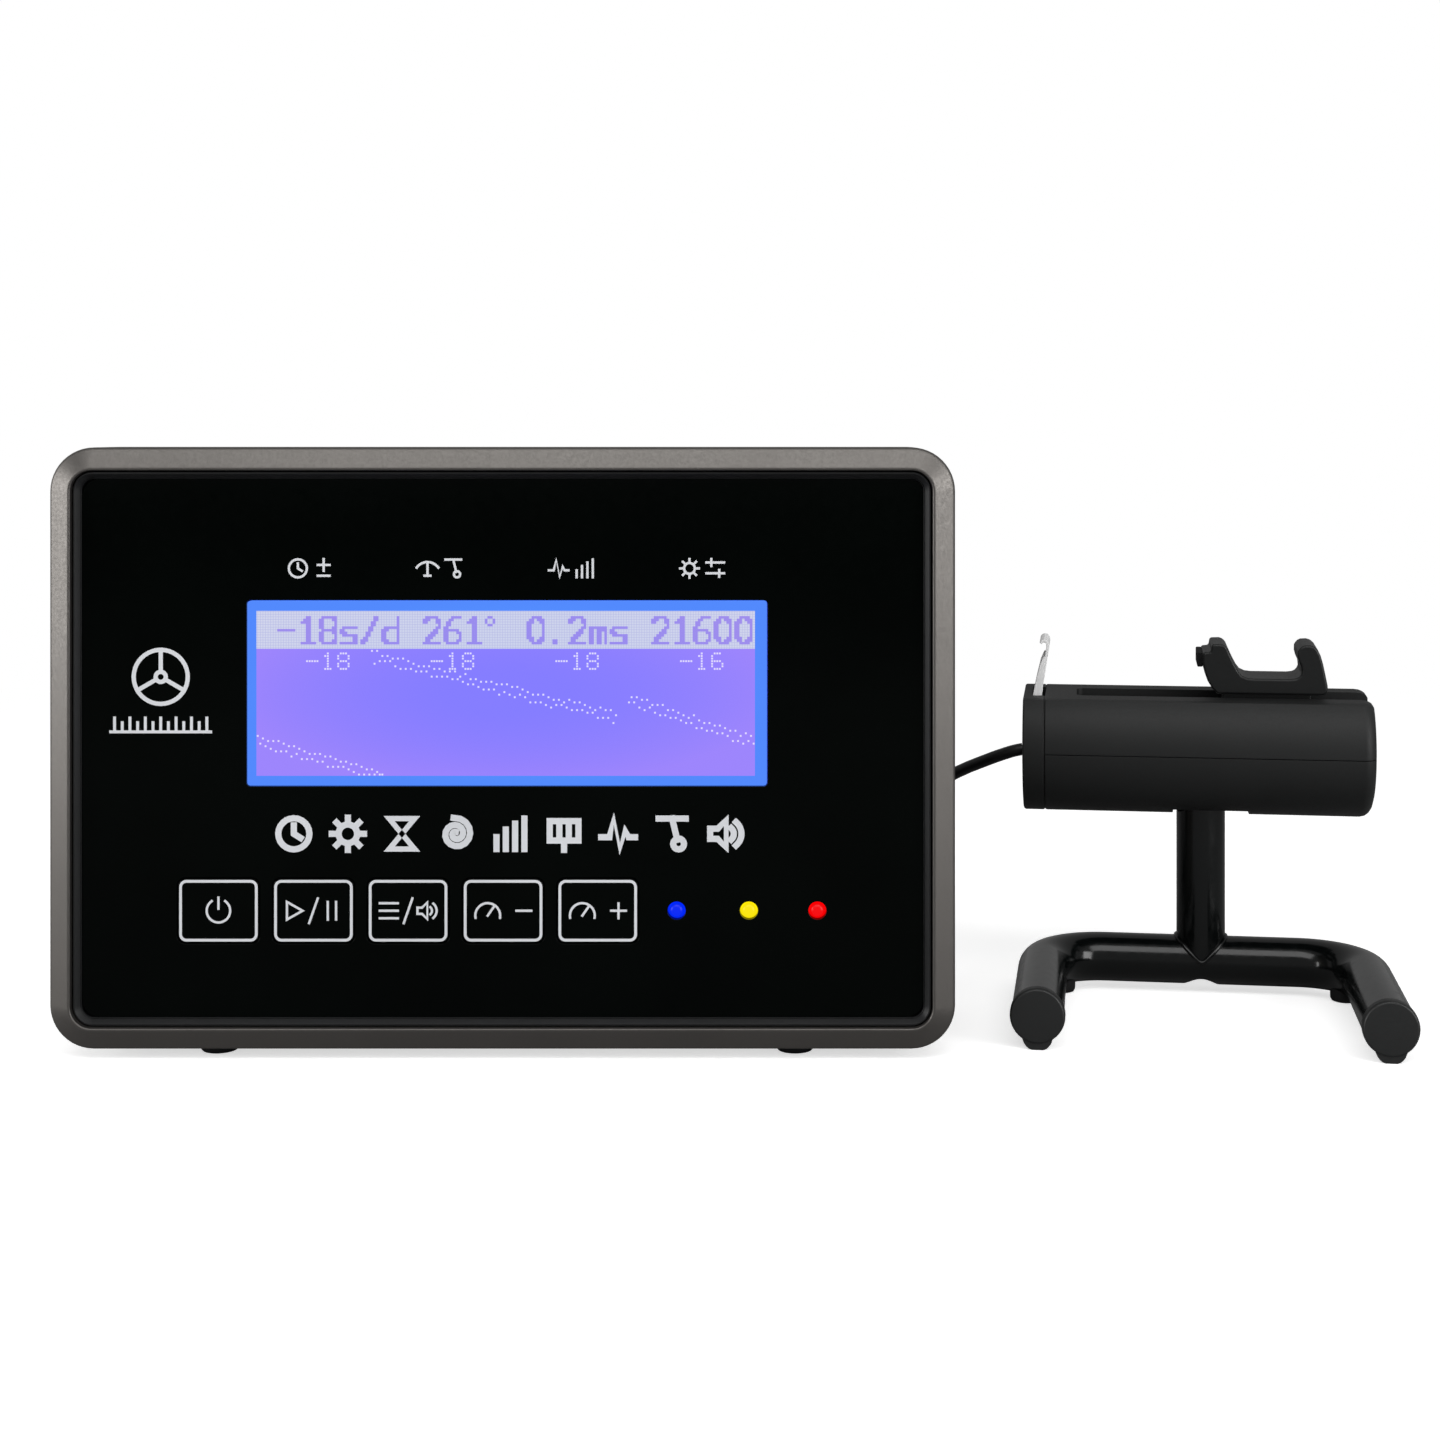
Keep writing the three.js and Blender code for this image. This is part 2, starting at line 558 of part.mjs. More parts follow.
// Hub on top of the post, its axle through the two webs, and the nut that sets the tilting friction.
const hub = add(
  rod(HUB_R, MOUTH.x0 + 0.6, MOUTH.x1 - 0.6, 'x', [0, 0, TILT_Z], 28),
  rod(AXLE_R, MOUTH.x0 - 5.5, MOUTH.x1 + 10, 'x', [0, 0, TILT_Z], 20),
  rod(TUBE.bore - GAP, 46, TILT_Z, 'z', [0, 0, 0], 20),
);
piece('tilt_hub', hub, STEEL, onStand, 0.9, 0.4);
const nutSide = MOUTH.x1 + 3.8 + GAP;
const nut = cut(
  rod(7, nutSide, nutSide + 4, 'x', [0, 0, TILT_Z], 6),
  rod(AXLE_R + GAP, nutSide - 1, nutSide + 5, 'x', [0, 0, TILT_Z], 20),
);
piece('hub_nut', nut, STEEL, onStand, 0.9, 0.4);

// ---------- clamp ----------
const clampShape = new THREE.Shape(CLAMP.map(([x, up]) => new THREE.Vector2(x, HEAD.flat + up)));
const clamp = add(
  plate(clampShape, -CLAMP_Y, CLAMP_Y, 0.6),
  box(6, 31, -SLOT.y + 0.6, SLOT.y - 0.6, HEAD.flat - 2.6, HEAD.flat + 2.9),
);
piece('slide_clamp', clamp, GRIP, onHead, 0, 0.5);
const runner = box(8, 29, -8.6, 8.6, HEAD.flat - 4.6, HEAD.flat - 2.9);
piece('slide_runner', runner, BLACK, onHead, 0, 0.6);
const padLow = HEAD.flat + 8.8;
const jawPad = add(
  box(-1.3, -0.4, -5.4, 5.4, padLow, padLow + 4.2),
  box(-0.6, 0, -3, 3, padLow + 1, padLow + 3.2),
);
piece('jaw_pad', jawPad, RUBBER, onHead, 0, 0.8);

// ---------- cable ----------
const entry = onStandPoint(CAP_X - 0.5, 0, TILT_Z);
const exitSide = onStandPoint(CAP_X - 3.2, 0, TILT_Z - 0.6);

function onStandPoint(x, y, z) {
  return new THREE.Vector3(x, y, z).applyMatrix4(onStand);
}

const coilBack = COIL.y + COIL.outer_turn;
const fromHead = [
  entry,
  exitSide,
  new THREE.Vector3(62.2, 83.9, 67.6),
  new THREE.Vector3(58, 86, 65.7),
  new THREE.Vector3(50, 91.5, 61.4),
  new THREE.Vector3(41, 98, 55),
  new THREE.Vector3(32.5, 103.5, 46.5),
  new THREE.Vector3(25.5, 107.5, 36.5),
  new THREE.Vector3(19.5, 110.5, 26),
  new THREE.Vector3(13.5, 112.8, 16.5),
  new THREE.Vector3(6, 114.5, 8.5),
  new THREE.Vector3(-3, 115.4, 3.6),
  new THREE.Vector3(-14, coilBack, 2),
  new THREE.Vector3(-31, coilBack, 1.9),
];
const toPlug = [
  new THREE.Vector3(-59, coilBack, 5.4),
  new THREE.Vector3(-64, 115.8, 4.2),
  new THREE.Vector3(-72, 116.2, 2.4),
  new THREE.Vector3(-83, 116.8, 1.9),
  new THREE.Vector3(-93, 117, 2.4),
  new THREE.Vector3(-101, 116.5, 5.5),
  new THREE.Vector3(-106, 115, 11.5),
  new THREE.Vector3(-108.5, 112.5, 18.5),
  new THREE.Vector3(-109.5, 109, 25.5),
  new THREE.Vector3(-110, 104, 31),
  new THREE.Vector3(-110, 98, 34.2),
  new THREE.Vector3(-110, 92.8, 35),
];

function smooth(points, steps) {
  return new THREE.CatmullRomCurve3(points, false, 'centripetal').getSpacedPoints(steps);
}

piece('microphone_cable', tube(smooth(fromHead, 24), CORD_R, 8), BLACK, onTable, 0, 0.5);
piece('microphone_cable_tail', tube(smooth(toPlug, 14), CORD_R, 8), BLACK, onTable, 0, 0.5);

const { middle, half, high } = COIL;
const coilProfile = [
  [middle - half + 1.5, 0], [middle + half - 1.5, 0], [middle + half, 1.5], [middle + half, high - 1.5],
  [middle + half - 1.5, high], [middle - half + 1.5, high], [middle - half, high - 1.5], [middle - half, 1.5],
  [middle - half + 1.5, 0],
];
piece('cable_coil', turned(coilProfile, 'z', [COIL.x, COIL.y, 0], 32), BLACK, onTable, 0, 0.5);

// A strap over the coil's bundle, on its side that faces the monitor.
const tieAt = { x: COIL.x, y: COIL.y - middle };
const tieHalf = half + 1.2;
const strap = box(tieAt.x - 4, tieAt.x + 4, tieAt.y - tieHalf, tieAt.y + tieHalf, 0, high + 1.2);
const bundle = coilProfile.map(([r, z]) => [
  r + (r > middle ? GAP : -GAP),
  z > high / 2 ? z + GAP : z - 0.01,
]);
piece('cable_tie', cut(strap, turned(bundle, 'z', [COIL.x, COIL.y, 0], 32)), RUBBER, onTable, 0, 0.7);

const plugProfile = [
  [0, 48.5], [1, 49], [1.75, 50], [1.75, 62.7], [4.2, 62.7],
  [4.4, 63.4], [4.4, 80], [3.2, 82], [2.6, 92.5], [0, 92.5],
];
piece('cable_plug', turned(plugProfile, 'y', [JACK.x, 0, JACK.z], 16), BLACK, onMonitor, 0.2, 0.4);

// ---------- origin: middle of the footprint of everything but the cable ----------
const cordPieces = ['microphone_cable', 'microphone_cable_tail', 'cable_coil', 'cable_tie', 'cable_plug'];
const bounds = new THREE.Box3();
for (const mesh of root.children) {
  if (!cordPieces.includes(mesh.name)) {
    bounds.expandByObject(mesh, true);
  }
}
const middleOf = bounds.getCenter(new THREE.Vector3());
for (const mesh of root.children) {
  mesh.geometry.translate(-middleOf.x, -middleOf.y, -bounds.min.z);
}

export default root;
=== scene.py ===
import math
import random

import bmesh
import bpy
from mathutils import Matrix, Vector


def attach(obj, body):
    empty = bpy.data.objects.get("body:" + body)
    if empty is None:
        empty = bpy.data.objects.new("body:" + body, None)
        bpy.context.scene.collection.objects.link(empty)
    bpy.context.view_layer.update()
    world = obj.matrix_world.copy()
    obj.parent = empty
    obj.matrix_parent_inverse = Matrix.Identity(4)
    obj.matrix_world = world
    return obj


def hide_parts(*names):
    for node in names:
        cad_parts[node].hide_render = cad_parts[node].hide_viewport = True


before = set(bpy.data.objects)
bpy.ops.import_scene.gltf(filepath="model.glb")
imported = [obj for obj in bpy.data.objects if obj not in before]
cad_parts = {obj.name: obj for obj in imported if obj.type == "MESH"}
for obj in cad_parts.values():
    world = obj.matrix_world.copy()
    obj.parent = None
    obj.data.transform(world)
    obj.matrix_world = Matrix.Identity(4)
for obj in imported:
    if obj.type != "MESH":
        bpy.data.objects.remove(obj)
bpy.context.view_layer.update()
scene = bpy.context.scene

MM = 0.001
# Where the monitor's face and the stand's post stand in the object's frame, in millimetres.
MONITOR = Vector((-63.61, -49.85, 81.15))
STAND = Vector((131.19, 25.15, 0))
ON_MONITOR = Matrix.Translation(MONITOR)
ON_STAND = Matrix.Translation(STAND) @ Matrix.Rotation(math.radians(-8), 4, "Z")
ON_TABLE = Matrix.Translation((11.59, -49.85, 0))

# Monitor: sizes, and places on its face measured from the middle of the face.
FRAME_W, FRAME_H, FRAME_R = 235.2, 156.3, 11.4
CASE_H = 152.3
DISPLAY_X, DISPLAY_Z = 1.1, 14.2
KEY_Z = -42.3
KEYS = {
    "key_power": -73.9,
    "key_start_pause": -49.2,
    "key_menu_sound": -24.6,
    "key_value_minus": 0.1,
    "key_value_plus": 24.7,
}
LAMP_X = {"led_blue": 45.2, "led_yellow": 64, "led_red": 81.8}
JACK = (-34.8, 0, -46.15)
INLET = (70, 0, -46.15)

# Stand: base tube, and the head as a barrel along x with a flat top.
TUBE_R, BORE, TUBE_Z = 7.0, 5.5, 9.0
LEG_X, LEG_Y, BEND = 45.5, -67.0, 18.0
POST_TOP = 60.0
HEAD_Z, HEAD_R, HEAD_WALL, FLAT = 72.0, 19.9, 2.2, 86.9
X0, X1, CAP_X = -45.0, 48.2, -51.3
TILT_Z = 69.5
# The head leans 3.5 degrees towards the user about its tilting axis.
ON_HEAD = (
    ON_STAND @ Matrix.Translation((0, 0, TILT_Z)) @ Matrix.Rotation(math.radians(3.5), 4, "X")
    @ Matrix.Translation((0, 0, -TILT_Z))
)

# ---------------------------------------------------------------- camera
camera = bpy.data.objects.new("camera", bpy.data.cameras.new("camera"))
scene.collection.objects.link(camera)
scene.camera = camera
camera.location = (0.01159, -0.61875, 0.1633)
camera.rotation_euler = (math.radians(90), 0, 0)
camera.data.lens = 55
camera.data.sensor_width = 36
camera.data.shift_x = -0.05
camera.data.shift_y = -0.20


# ---------------------------------------------------------------- materials
class Nodes:
    """A small helper that builds one node material."""

    def __init__(self, name, color, rough, metal=0.0, **sockets):
        self.material = bpy.data.materials.new(name)
        self.material.use_nodes = True
        self.tree = self.material.node_tree
        self.shader = self.tree.nodes["Principled BSDF"]
        self.shader.inputs["Base Color"].default_value = (*color, 1)
        self.shader.inputs["Roughness"].default_value = rough
        self.shader.inputs["Metallic"].default_value = metal
        for key, value in sockets.items():
            self.shader.inputs[key.replace("_", " ")].default_value = value
        self.coords = self.tree.nodes.new("ShaderNodeTexCoord")
        self.height = None

    def link(self, a, b):
        self.tree.links.new(a, b)

    def noise(self, scale, detail, stretch=(1, 1, 1)):
        mapping = self.tree.nodes.new("ShaderNodeMapping")
        mapping.inputs["Scale"].default_value = stretch
        noise = self.tree.nodes.new("ShaderNodeTexNoise")
        noise.inputs["Scale"].default_value = scale
        noise.inputs["Detail"].default_value = detail
        noise.inputs["Roughness"].default_value = 0.55
        self.link(self.coords.outputs["Object"], mapping.inputs["Vector"])
        self.link(mapping.outputs["Vector"], noise.inputs["Vector"])
        return noise.outputs["Fac"]

    def calc(self, operation, a, b):
        """A math node's result. Each of its two inputs is a number or another node's output."""
        node = self.tree.nodes.new("ShaderNodeMath")
        node.operation = operation
        for value, socket in zip((a, b), node.inputs):
            if isinstance(value, (int, float)):
                socket.default_value = value
            else:
                self.link(value, socket)
        return node.outputs[0]

    def ramp(self, value, low, high, start=0.35, end=0.65):
        ramp = self.tree.nodes.new("ShaderNodeValToRGB")
        ramp.color_ramp.elements[0].position = start
        ramp.color_ramp.elements[1].position = end
        ramp.color_ramp.elements[0].color = (*low, 1)
        ramp.color_ramp.elements[1].color = (*high, 1)
        self.link(value, ramp.inputs["Fac"])
        return ramp.outputs["Color"]

    def vary(self, socket, value, low, high):
        spread = self.tree.nodes.new("ShaderNodeMapRange")
        spread.inputs["From Min"].default_value = 0.3
        spread.inputs["From Max"].default_value = 0.7
        spread.inputs["To Min"].default_value = low
        spread.inputs["To Max"].default_value = high
        self.link(value, spread.inputs["Value"])
        self.link(spread.outputs["Result"], self.shader.inputs[socket])

    def bump(self, value, strength, distance):
        bump = self.tree.nodes.new("ShaderNodeBump")
        bump.inputs["Strength"].default_value = strength
        bump.inputs["Distance"].default_value = distance
        self.link(value, bump.inputs["Height"])
        if self.height is not None:
            self.link(self.height, bump.inputs["Normal"])
        self.height = bump.outputs["Normal"]
        self.link(self.height, self.shader.inputs["Normal"])


def shade(color, factor):
    return tuple(c * factor for c in color)


def surface(name, color, rough, metal, spread, grain, grain_depth, **sockets):
    """Colour that varies a little at hand scale, and a fine grain in gloss and height."""
    m = Nodes(name, color, rough, metal, **sockets)
    broad = m.noise(35.0, 3.0)
    m.link(m.ramp(broad, shade(color, 1 - spread), shade(color, 1 + spread)), m.shader.inputs["Base Color"])
    fine = m.noise(grain, 3.0)
    m.vary("Roughness", fine, max(0.02, rough - 0.06), rough + 0.06)
    m.bump(fine, 0.35, grain_depth)
    return m.material


def brushed(name, color, rough, along, metal=1.0):
    m = Nodes(name, color, rough, metal)
    stretch = {"x": (0.05, 1, 1), "y": (1, 0.05, 1), "z": (1, 1, 0.05)}[along]
    lines = m.noise(2600, 2.0, stretch)
    m.link(m.ramp(lines, shade(color, 0.92), color), m.shader.inputs["Base Color"])
    m.vary("Roughness", lines, rough - 0.08, rough + 0.12)
    m.bump(lines, 0.12, 0.000006)
    return m.material


def glowing(name, centre, edge, middle, reach, dots=None):
    """Light that is one colour at the middle of an area and another towards its edges."""
    m = Nodes(name, (0.002, 0.002, 0.003), 0.3, Specular_IOR_Level=0.2)
    split = m.tree.nodes.new("ShaderNodeSeparateXYZ")
    m.link(m.coords.outputs["Object"], split.inputs["Vector"])
    squares = []
    for axis, mid, half in (("X", middle[0], reach[0]), ("Z", middle[1], reach[1])):
        away = m.calc("SUBTRACT", split.outputs[axis], mid * MM)
        squares.append(m.calc("POWER", m.calc("DIVIDE", away, half * MM), 2))
    colour = m.ramp(m.calc("ADD", *squares), centre, edge, 0.05, 1.3)
    if dots:
        # Thin dark lines between the dots, at the pitch given.
        pitch, dark = dots
        lines = []
        for axis in ("X", "Z"):
            cell = m.calc("PINGPONG", split.outputs[axis], pitch * MM / 2)
            lines.append(m.calc("LESS_THAN", cell, pitch * MM * 0.09))
        mix = m.tree.nodes.new("ShaderNodeMix")
        mix.data_type = "RGBA"
        mix.inputs["B"].default_value = (*dark, 1)
        m.link(m.calc("MAXIMUM", *lines), mix.inputs["Factor"])
        m.link(colour, mix.inputs["A"])
        colour = mix.outputs["Result"]
    m.link(colour, m.shader.inputs["Emission Color"])
    m.shader.inputs["Emission Strength"].default_value = 1
    return m.material


def rgb(r, g, b):
    """Screen colour, 0 to 255, as the linear colour that shaders take."""
    return tuple((c / 255 / 12.92) if c <= 10 else ((c / 255 + 0.055) / 1.055) ** 2.4 for c in (r, g, b))


FRAME_PAINT = surface("frame_paint", rgb(104, 101, 98), 0.42, 0.85, 0.03, 1400, 0.000012)
TRIM = surface("trim_black", rgb(20, 21, 22), 0.42, 0, 0.1, 1200, 0.00001)
PANEL = surface("panel_gloss", rgb(3, 5, 4), 0.07, 0, 0.15, 300, 0.0000005, Specular_IOR_Level=0.06)
PRINT = surface("print_pale", rgb(222, 224, 228), 0.6, 0, 0.03, 2500, 0.000004)
RUBBER = surface("foot_rubber", rgb(20, 20, 21), 0.8, 0, 0.12, 1600, 0.00003, Specular_IOR_Level=0.3)
TUBE = surface("tube_paint", rgb(6, 8, 8), 0.16, 0.0, 0.12, 500, 0.000004, Specular_IOR_Level=0.42)
CAP = surface("cap_plastic", rgb(26, 27, 27), 0.45, 0, 0.06, 1500, 0.00001)
SHELL = surface("shell_plastic", rgb(27, 28, 28), 0.56, 0, 0.06, 2200, 0.00002, Specular_IOR_Level=0.36)
GRIP = surface("grip_plastic", rgb(22, 23, 23), 0.42, 0, 0.06, 1800, 0.00002, Specular_IOR_Level=0.36)
CABLE = surface("cable_rubber", rgb(10, 10, 11), 0.4, 0, 0.12, 900, 0.00001)
# The contact plate is near-white and not metallic: painted sheen that stands in for the bright reflection of
# its steel.
STEEL_AND_PAINTED_SHEEN = brushed("plate_steel", rgb(253, 253, 253), 0.38, "z", 0)
SCREW = brushed("screw_steel", rgb(190, 190, 194), 0.3, "x")
HUB = brushed("hub_steel", rgb(160, 160, 164), 0.35, "y")
BRASS = brushed("piezo_brass", rgb(190, 150, 80), 0.35, "y")
BOARD = surface("circuit_board", rgb(30, 86, 56), 0.5, 0, 0.15, 500, 0.00002)
GLASS = surface("display_blue", rgb(120, 120, 240), 0.15, 0, 0.05, 300, 0.000002)


def lamp(name, x, centre, edge):
    return glowing(name, centre, edge, (x + MONITOR.x, KEY_Z + MONITOR.z), (4, 4))


LAMP_BLUE = lamp("lamp_blue", LAMP_X["led_blue"], rgb(0, 40, 244), rgb(0, 36, 236))
LAMP_YELLOW = lamp("lamp_yellow", LAMP_X["led_yellow"], rgb(252, 230, 6), rgb(246, 222, 4))
LAMP_RED = lamp("lamp_red", LAMP_X["led_red"], rgb(246, 2, 4), rgb(236, 0, 2))


# ---------------------------------------------------------------- geometry
def cleaned(mesh):
    """The mesh with doubled points merged and its faces turned outwards."""
    bm = bmesh.new()
    bm.from_mesh(mesh)
    bmesh.ops.remove_doubles(bm, verts=bm.verts, dist=1e-7)
    bmesh.ops.recalc_face_normals(bm, faces=bm.faces)
    bm.to_mesh(mesh)
    bm.free()
    return mesh


def placed(name, shape, place):
    """A mesh in the object's frame from a shape's points in millimetres."""
    verts, faces = shape
    mesh = bpy.data.meshes.new(name)
    mesh.from_pydata([place @ Vector(v) * MM for v in verts], [], faces)
    return mesh


def make(name, shape, place, body, material, slot, replaces=(), **finish):
    """A piece from a shape, placed in the object's frame and riding on a body."""
    return finish_piece(name, placed(name, shape, place), body, material, slot, replaces, **finish)


def finish_piece(name, mesh, body, material, slot, replaces=(), sharp=35, bevel=0, segments=3):
    cleaned(mesh)
    mesh.polygons.foreach_set("use_smooth", [True] * len(mesh.polygons))
    mesh.set_sharp_from_angle(angle=math.radians(sharp))
    mesh.materials.append(material)
    obj = bpy.data.objects.new(name, mesh)
    scene.collection.objects.link(obj)
    if bevel:
        rounding = obj.modifiers.new("rounding", "BEVEL")
        rounding.width = bevel * MM
        rounding.segments = segments
        rounding.limit_method = "ANGLE"
        rounding.angle_limit = math.radians(sharp)
    weighted = obj.modifiers.new("normals", "WEIGHTED_NORMAL")
    weighted.keep_sharp = True
    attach(obj, body)
    if replaces:
        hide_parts(*replaces)
    return obj


def loft(rings, closed=False):
    """Faces between rings of the same number of points. An open loft is capped at both ends."""
    n = len(rings[0])
    verts = [p for ring in rings for p in ring]
    faces = []
    for k in range(len(rings) if closed else len(rings) - 1):
        a, b = k * n, ((k + 1) % len(rings)) * n
        for i in range(n):
            j = (i + 1) % n
            faces.append((a + i, a + j, b + j, b + i))
    if not closed:
        faces.append(tuple(range(n)))
        faces.append(tuple(range(len(verts) - n, len(verts))))
    return verts, faces


def round_rect(w, h, r, x=0.0, z=0.0, n=10):
    points = []
    for sx, sz, start in ((1, 1, 0), (-1, 1, 90), (-1, -1, 180), (1, -1, 270)):
        for i in range(n + 1):
            a = math.radians(start + 90 * i / n)
            points.append((x + sx * (w / 2 - r) + r * math.cos(a), z + sz * (h / 2 - r) + r * math.sin(a)))
    return points


def frame_rings(profile, n=12):
    """Rings round the monitor's face: each is set in from the frame's edge, at a depth."""
    rings = []
    for inset, y in profile:
        outline = round_rect(FRAME_W - 2 * inset, FRAME_H - 2 * inset, max(FRAME_R - inset, 0.6), n=n)
        rings.append([(x, y, z) for x, z in outline])
    return rings


def spun(profile, sides=48, axis="y"):
    """A solid of revolution from (radius, distance along the axis).

    Its profile starts and ends on the axis, or ends on its own start.
    """
    rings = []
    for r, along in profile:
        ring = []
        for i in range(sides):
            a = 2 * math.pi * i / sides
            u, v = r * math.cos(a), r * math.sin(a)
            ring.append({"x": (along, u, v), "y": (u, along, v), "z": (u, v, along)}[axis])
        rings.append(ring)
    closed = profile[0] == profile[-1]
    return loft(rings[:-1] if closed else rings, closed)


def moved(shape, x=0.0, y=0.0, z=0.0):
    verts, faces = shape
    return [(a + x, b + y, c + z) for a, b, c in verts], faces


def joined(*shapes):
    verts, faces = [], []
    for v, f in shapes:
        start = len(verts)
        verts += v
        faces += [tuple(i + start for i in face) for face in f]
    return verts, faces


def slab(outline, y0, y1):
    """An outline in x and z, given thickness from y0 to y1."""
    return loft([[(x, y0, z) for x, z in outline], [(x, y1, z) for x, z in outline]])


def block(x0, x1, y0, y1, z0, z1):
    return slab([(x0, z0), (x1, z0), (x1, z1), (x0, z1)], y0, y1)


def plate_mesh(outline, holes, y0, y1, bevel):
    """A flat plate with holes and rounded edges, as a mesh in millimetres."""
    curve = bpy.data.curves.new("plate", "CURVE")
    curve.dimensions = "2D"
    curve.fill_mode = "BOTH"
    curve.extrude = (y1 - y0) / 2 - bevel
    curve.bevel_depth = bevel
    curve.bevel_resolution = 2
    curve.offset = -bevel
    for ring in [outline, *holes]:
        spline = curve.splines.new("POLY")
        spline.points.add(len(ring) - 1)
        for point, (x, z) in zip(spline.points, ring):
            point.co = (x, z, 0, 1)
        spline.use_cyclic_u = True
    temporary = bpy.data.objects.new("plate", curve)
    mesh = bpy.data.meshes.new_from_object(temporary)
    verts = [(v.co.x, (y0 + y1) / 2 - v.co.z, v.co.y) for v in mesh.vertices]
    faces = [tuple(p.vertices) for p in mesh.polygons]
    bpy.data.objects.remove(temporary)
    bpy.data.curves.remove(curve)
    bpy.data.meshes.remove(mesh)
    return verts, faces


def boolean(base, tools, place):
    """The base shape with the tool shapes cut out of it, as a mesh in the object's frame."""
    objects = []
    for shape in [base, *tools]:
        obj = bpy.data.objects.new("cut", cleaned(placed("cut", shape, place)))
        scene.collection.objects.link(obj)
        objects.append(obj)
    for tool in objects[1:]:
        step = objects[0].modifiers.new("cut", "BOOLEAN")
        step.operation = "DIFFERENCE"
        step.solver = "EXACT"
        step.object = tool
    bpy.context.view_layer.update()
    final = objects[0].evaluated_get(bpy.context.evaluated_depsgraph_get())
    result = bpy.data.meshes.new_from_object(final)
    for obj in objects:
        bpy.data.objects.remove(obj)
    return result


def rod(r, start, end, axis, at, sides=48):
    return moved(spun([(0, start), (r, start), (r, end), (0, end)], sides, axis), *at)


def arc(x, z, r, start, end, n=16):
    points = []
    for i in range(n + 1):
        a = math.radians(start + (end - start) * i / n)
        points.append((x + r * math.cos(a), z + r * math.sin(a)))
    return points


def ribbon(line, width, y0, y1, closed=False):
    """A printed stroke of even width along a line in x and z, as a thin solid."""
    points = [Vector(p) for p in line]
    if closed and (points[0] - points[-1]).length < 1e-6:
        points.pop()
    n = len(points)
    left, right = [], []
    for i, p in enumerate(points):
        before = points[i - 1] if i > 0 or closed else None
        after = points[(i + 1) % n] if i < n - 1 or closed else None
        d0 = (p - before).normalized() if before is not None else None
        d1 = (after - p).normalized() if after is not None else None
        d0, d1 = d0 or d1, d1 or d0
        along = (d0 + d1).normalized() if (d0 + d1).length > 1e-3 else d1
        side = Vector((-along.y, along.x))
        reach = width / 2 / max(0.5, side.dot(Vector((-d1.y, d1.x))))
        push = along * (width / 2) if not closed and i in (0, n - 1) else Vector((0, 0))
        push = -push if i == 0 else push
        left.append(p + push + side * reach)
        right.append(p + push - side * reach)
    rings = []
    for a, b in zip(left, right):
        rings.append([(a.x, y0, a.y), (b.x, y0, b.y), (b.x, y1, b.y), (a.x, y1, a.y)])
    return loft(rings, closed)


def printed(strokes, width, x, z, scale=1.0):
    """Strokes printed on the panel: each is a list of points, closed where it ends on its start."""
    shapes = []
    for i, line in enumerate(strokes):
        line = [(x + px * scale, z + pz * scale) for px, pz in line]
        closed = math.dist(line[0], line[-1]) < 1e-6 and len(line) > 3
        # Strokes that cross lie at slightly different heights.
        shapes.append(ribbon(line, width, 2.985 - 0.003 * i, 3.02 + 0.002 * i, closed))
    return shapes


# ---------------------------------------------------------------- cable, before the other pieces
def catmull(points, steps=3):
    """The points again with steps on a smooth curve between each two."""
    out = []
    for i in range(len(points) - 1):
        p0, p1 = points[max(i - 1, 0)], points[i]
        p2, p3 = points[i + 1], points[min(i + 2, len(points) - 1)]
        for k in range(steps):
            t = k / steps
            square = (2 * p0 - 5 * p1 + 4 * p2 - p3) * t ** 2
            cube = (3 * p1 - p0 - 3 * p2 + p3) * t ** 3
            out.append(0.5 * ((2 * p1) + (p2 - p0) * t + square + cube))
    return [*out, points[-1]]


CORD_R = 1.8
cable_exit = ON_STAND @ Vector((-51.8, 0, TILT_Z))
first = ON_STAND @ Vector((-54.5, 0, TILT_Z - 0.6))
COIL = Vector((-45, 92, 0))
from_head = [
    (62.2, 83.9, 67.6), (58, 86, 65.7), (50, 91.5, 61.4), (41, 98, 55),
    (32.5, 103.5, 46.5), (25.5, 107.5, 36.5), (19.5, 110.5, 26), (13.5, 112.8, 16.5),
    (6, 114.5, 8.5), (-3, 115.4, 3.6), (-14, 115.6, 2), (-31, 115.6, 1.9),
]
to_plug = [
    (-59, 115.6, 5.4), (-64, 115.8, 4.2), (-72, 116.2, 2.4), (-83, 116.8, 1.9),
    (-93, 117, 2.4), (-101, 116.5, 5.5), (-106, 115, 11.5), (-108.5, 112.5, 18.5),
    (-109.5, 109, 25.5), (-110, 104, 31), (-110, 98, 34.2), (-110, 92.8, 35),
]
# Each turn of the coil: its radius and the height of its middle.
turns = [(23.6, 1.9), (20, 1.9), (16.4, 1.9), (16.4, 5.5), (20, 5.5), (23.6, 5.5)]
STEPS = 16
coil = []
for k, (r, z) in enumerate(turns):
    next_r, next_z = turns[k + 1] if k + 1 < len(turns) else (r, z)
    for i in range(STEPS):
        # The last 0.3 of a turn eases over to the next one.
        t = max(0.0, (i / STEPS - 0.7) / 0.3)
        t = t * t * (3 - 2 * t)
        a = math.radians(90 + 360 * i / STEPS)
        radius, height = r + (next_r - r) * t, z + (next_z - z) * t
        coil.append(ON_TABLE @ (COIL + Vector((radius * math.cos(a), radius * math.sin(a), height))))
coil.append(ON_TABLE @ (COIL + Vector((0, 23.6, 5.5))))
route = [cable_exit, first, *[ON_TABLE @ Vector(p) for p in from_head], *coil]
route += [ON_TABLE @ Vector(p) for p in to_plug]
cord_curve = bpy.data.curves.new("microphone_lead", "CURVE")
cord_curve.dimensions = "3D"
cord_curve.bevel_depth = CORD_R * MM
cord_curve.bevel_resolution = 4
cord_curve.use_fill_caps = True
line = catmull(route)
spline = cord_curve.splines.new("POLY")
spline.points.add(len(line) - 1)
for point, p in zip(spline.points, line):
    point.co = (*(p * MM), 1)
spline.use_smooth = True
cord_curve.materials.append(CABLE)
lead = bpy.data.objects.new("microphone_lead", cord_curve)
scene.collection.objects.link(lead)
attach(lead, "base")
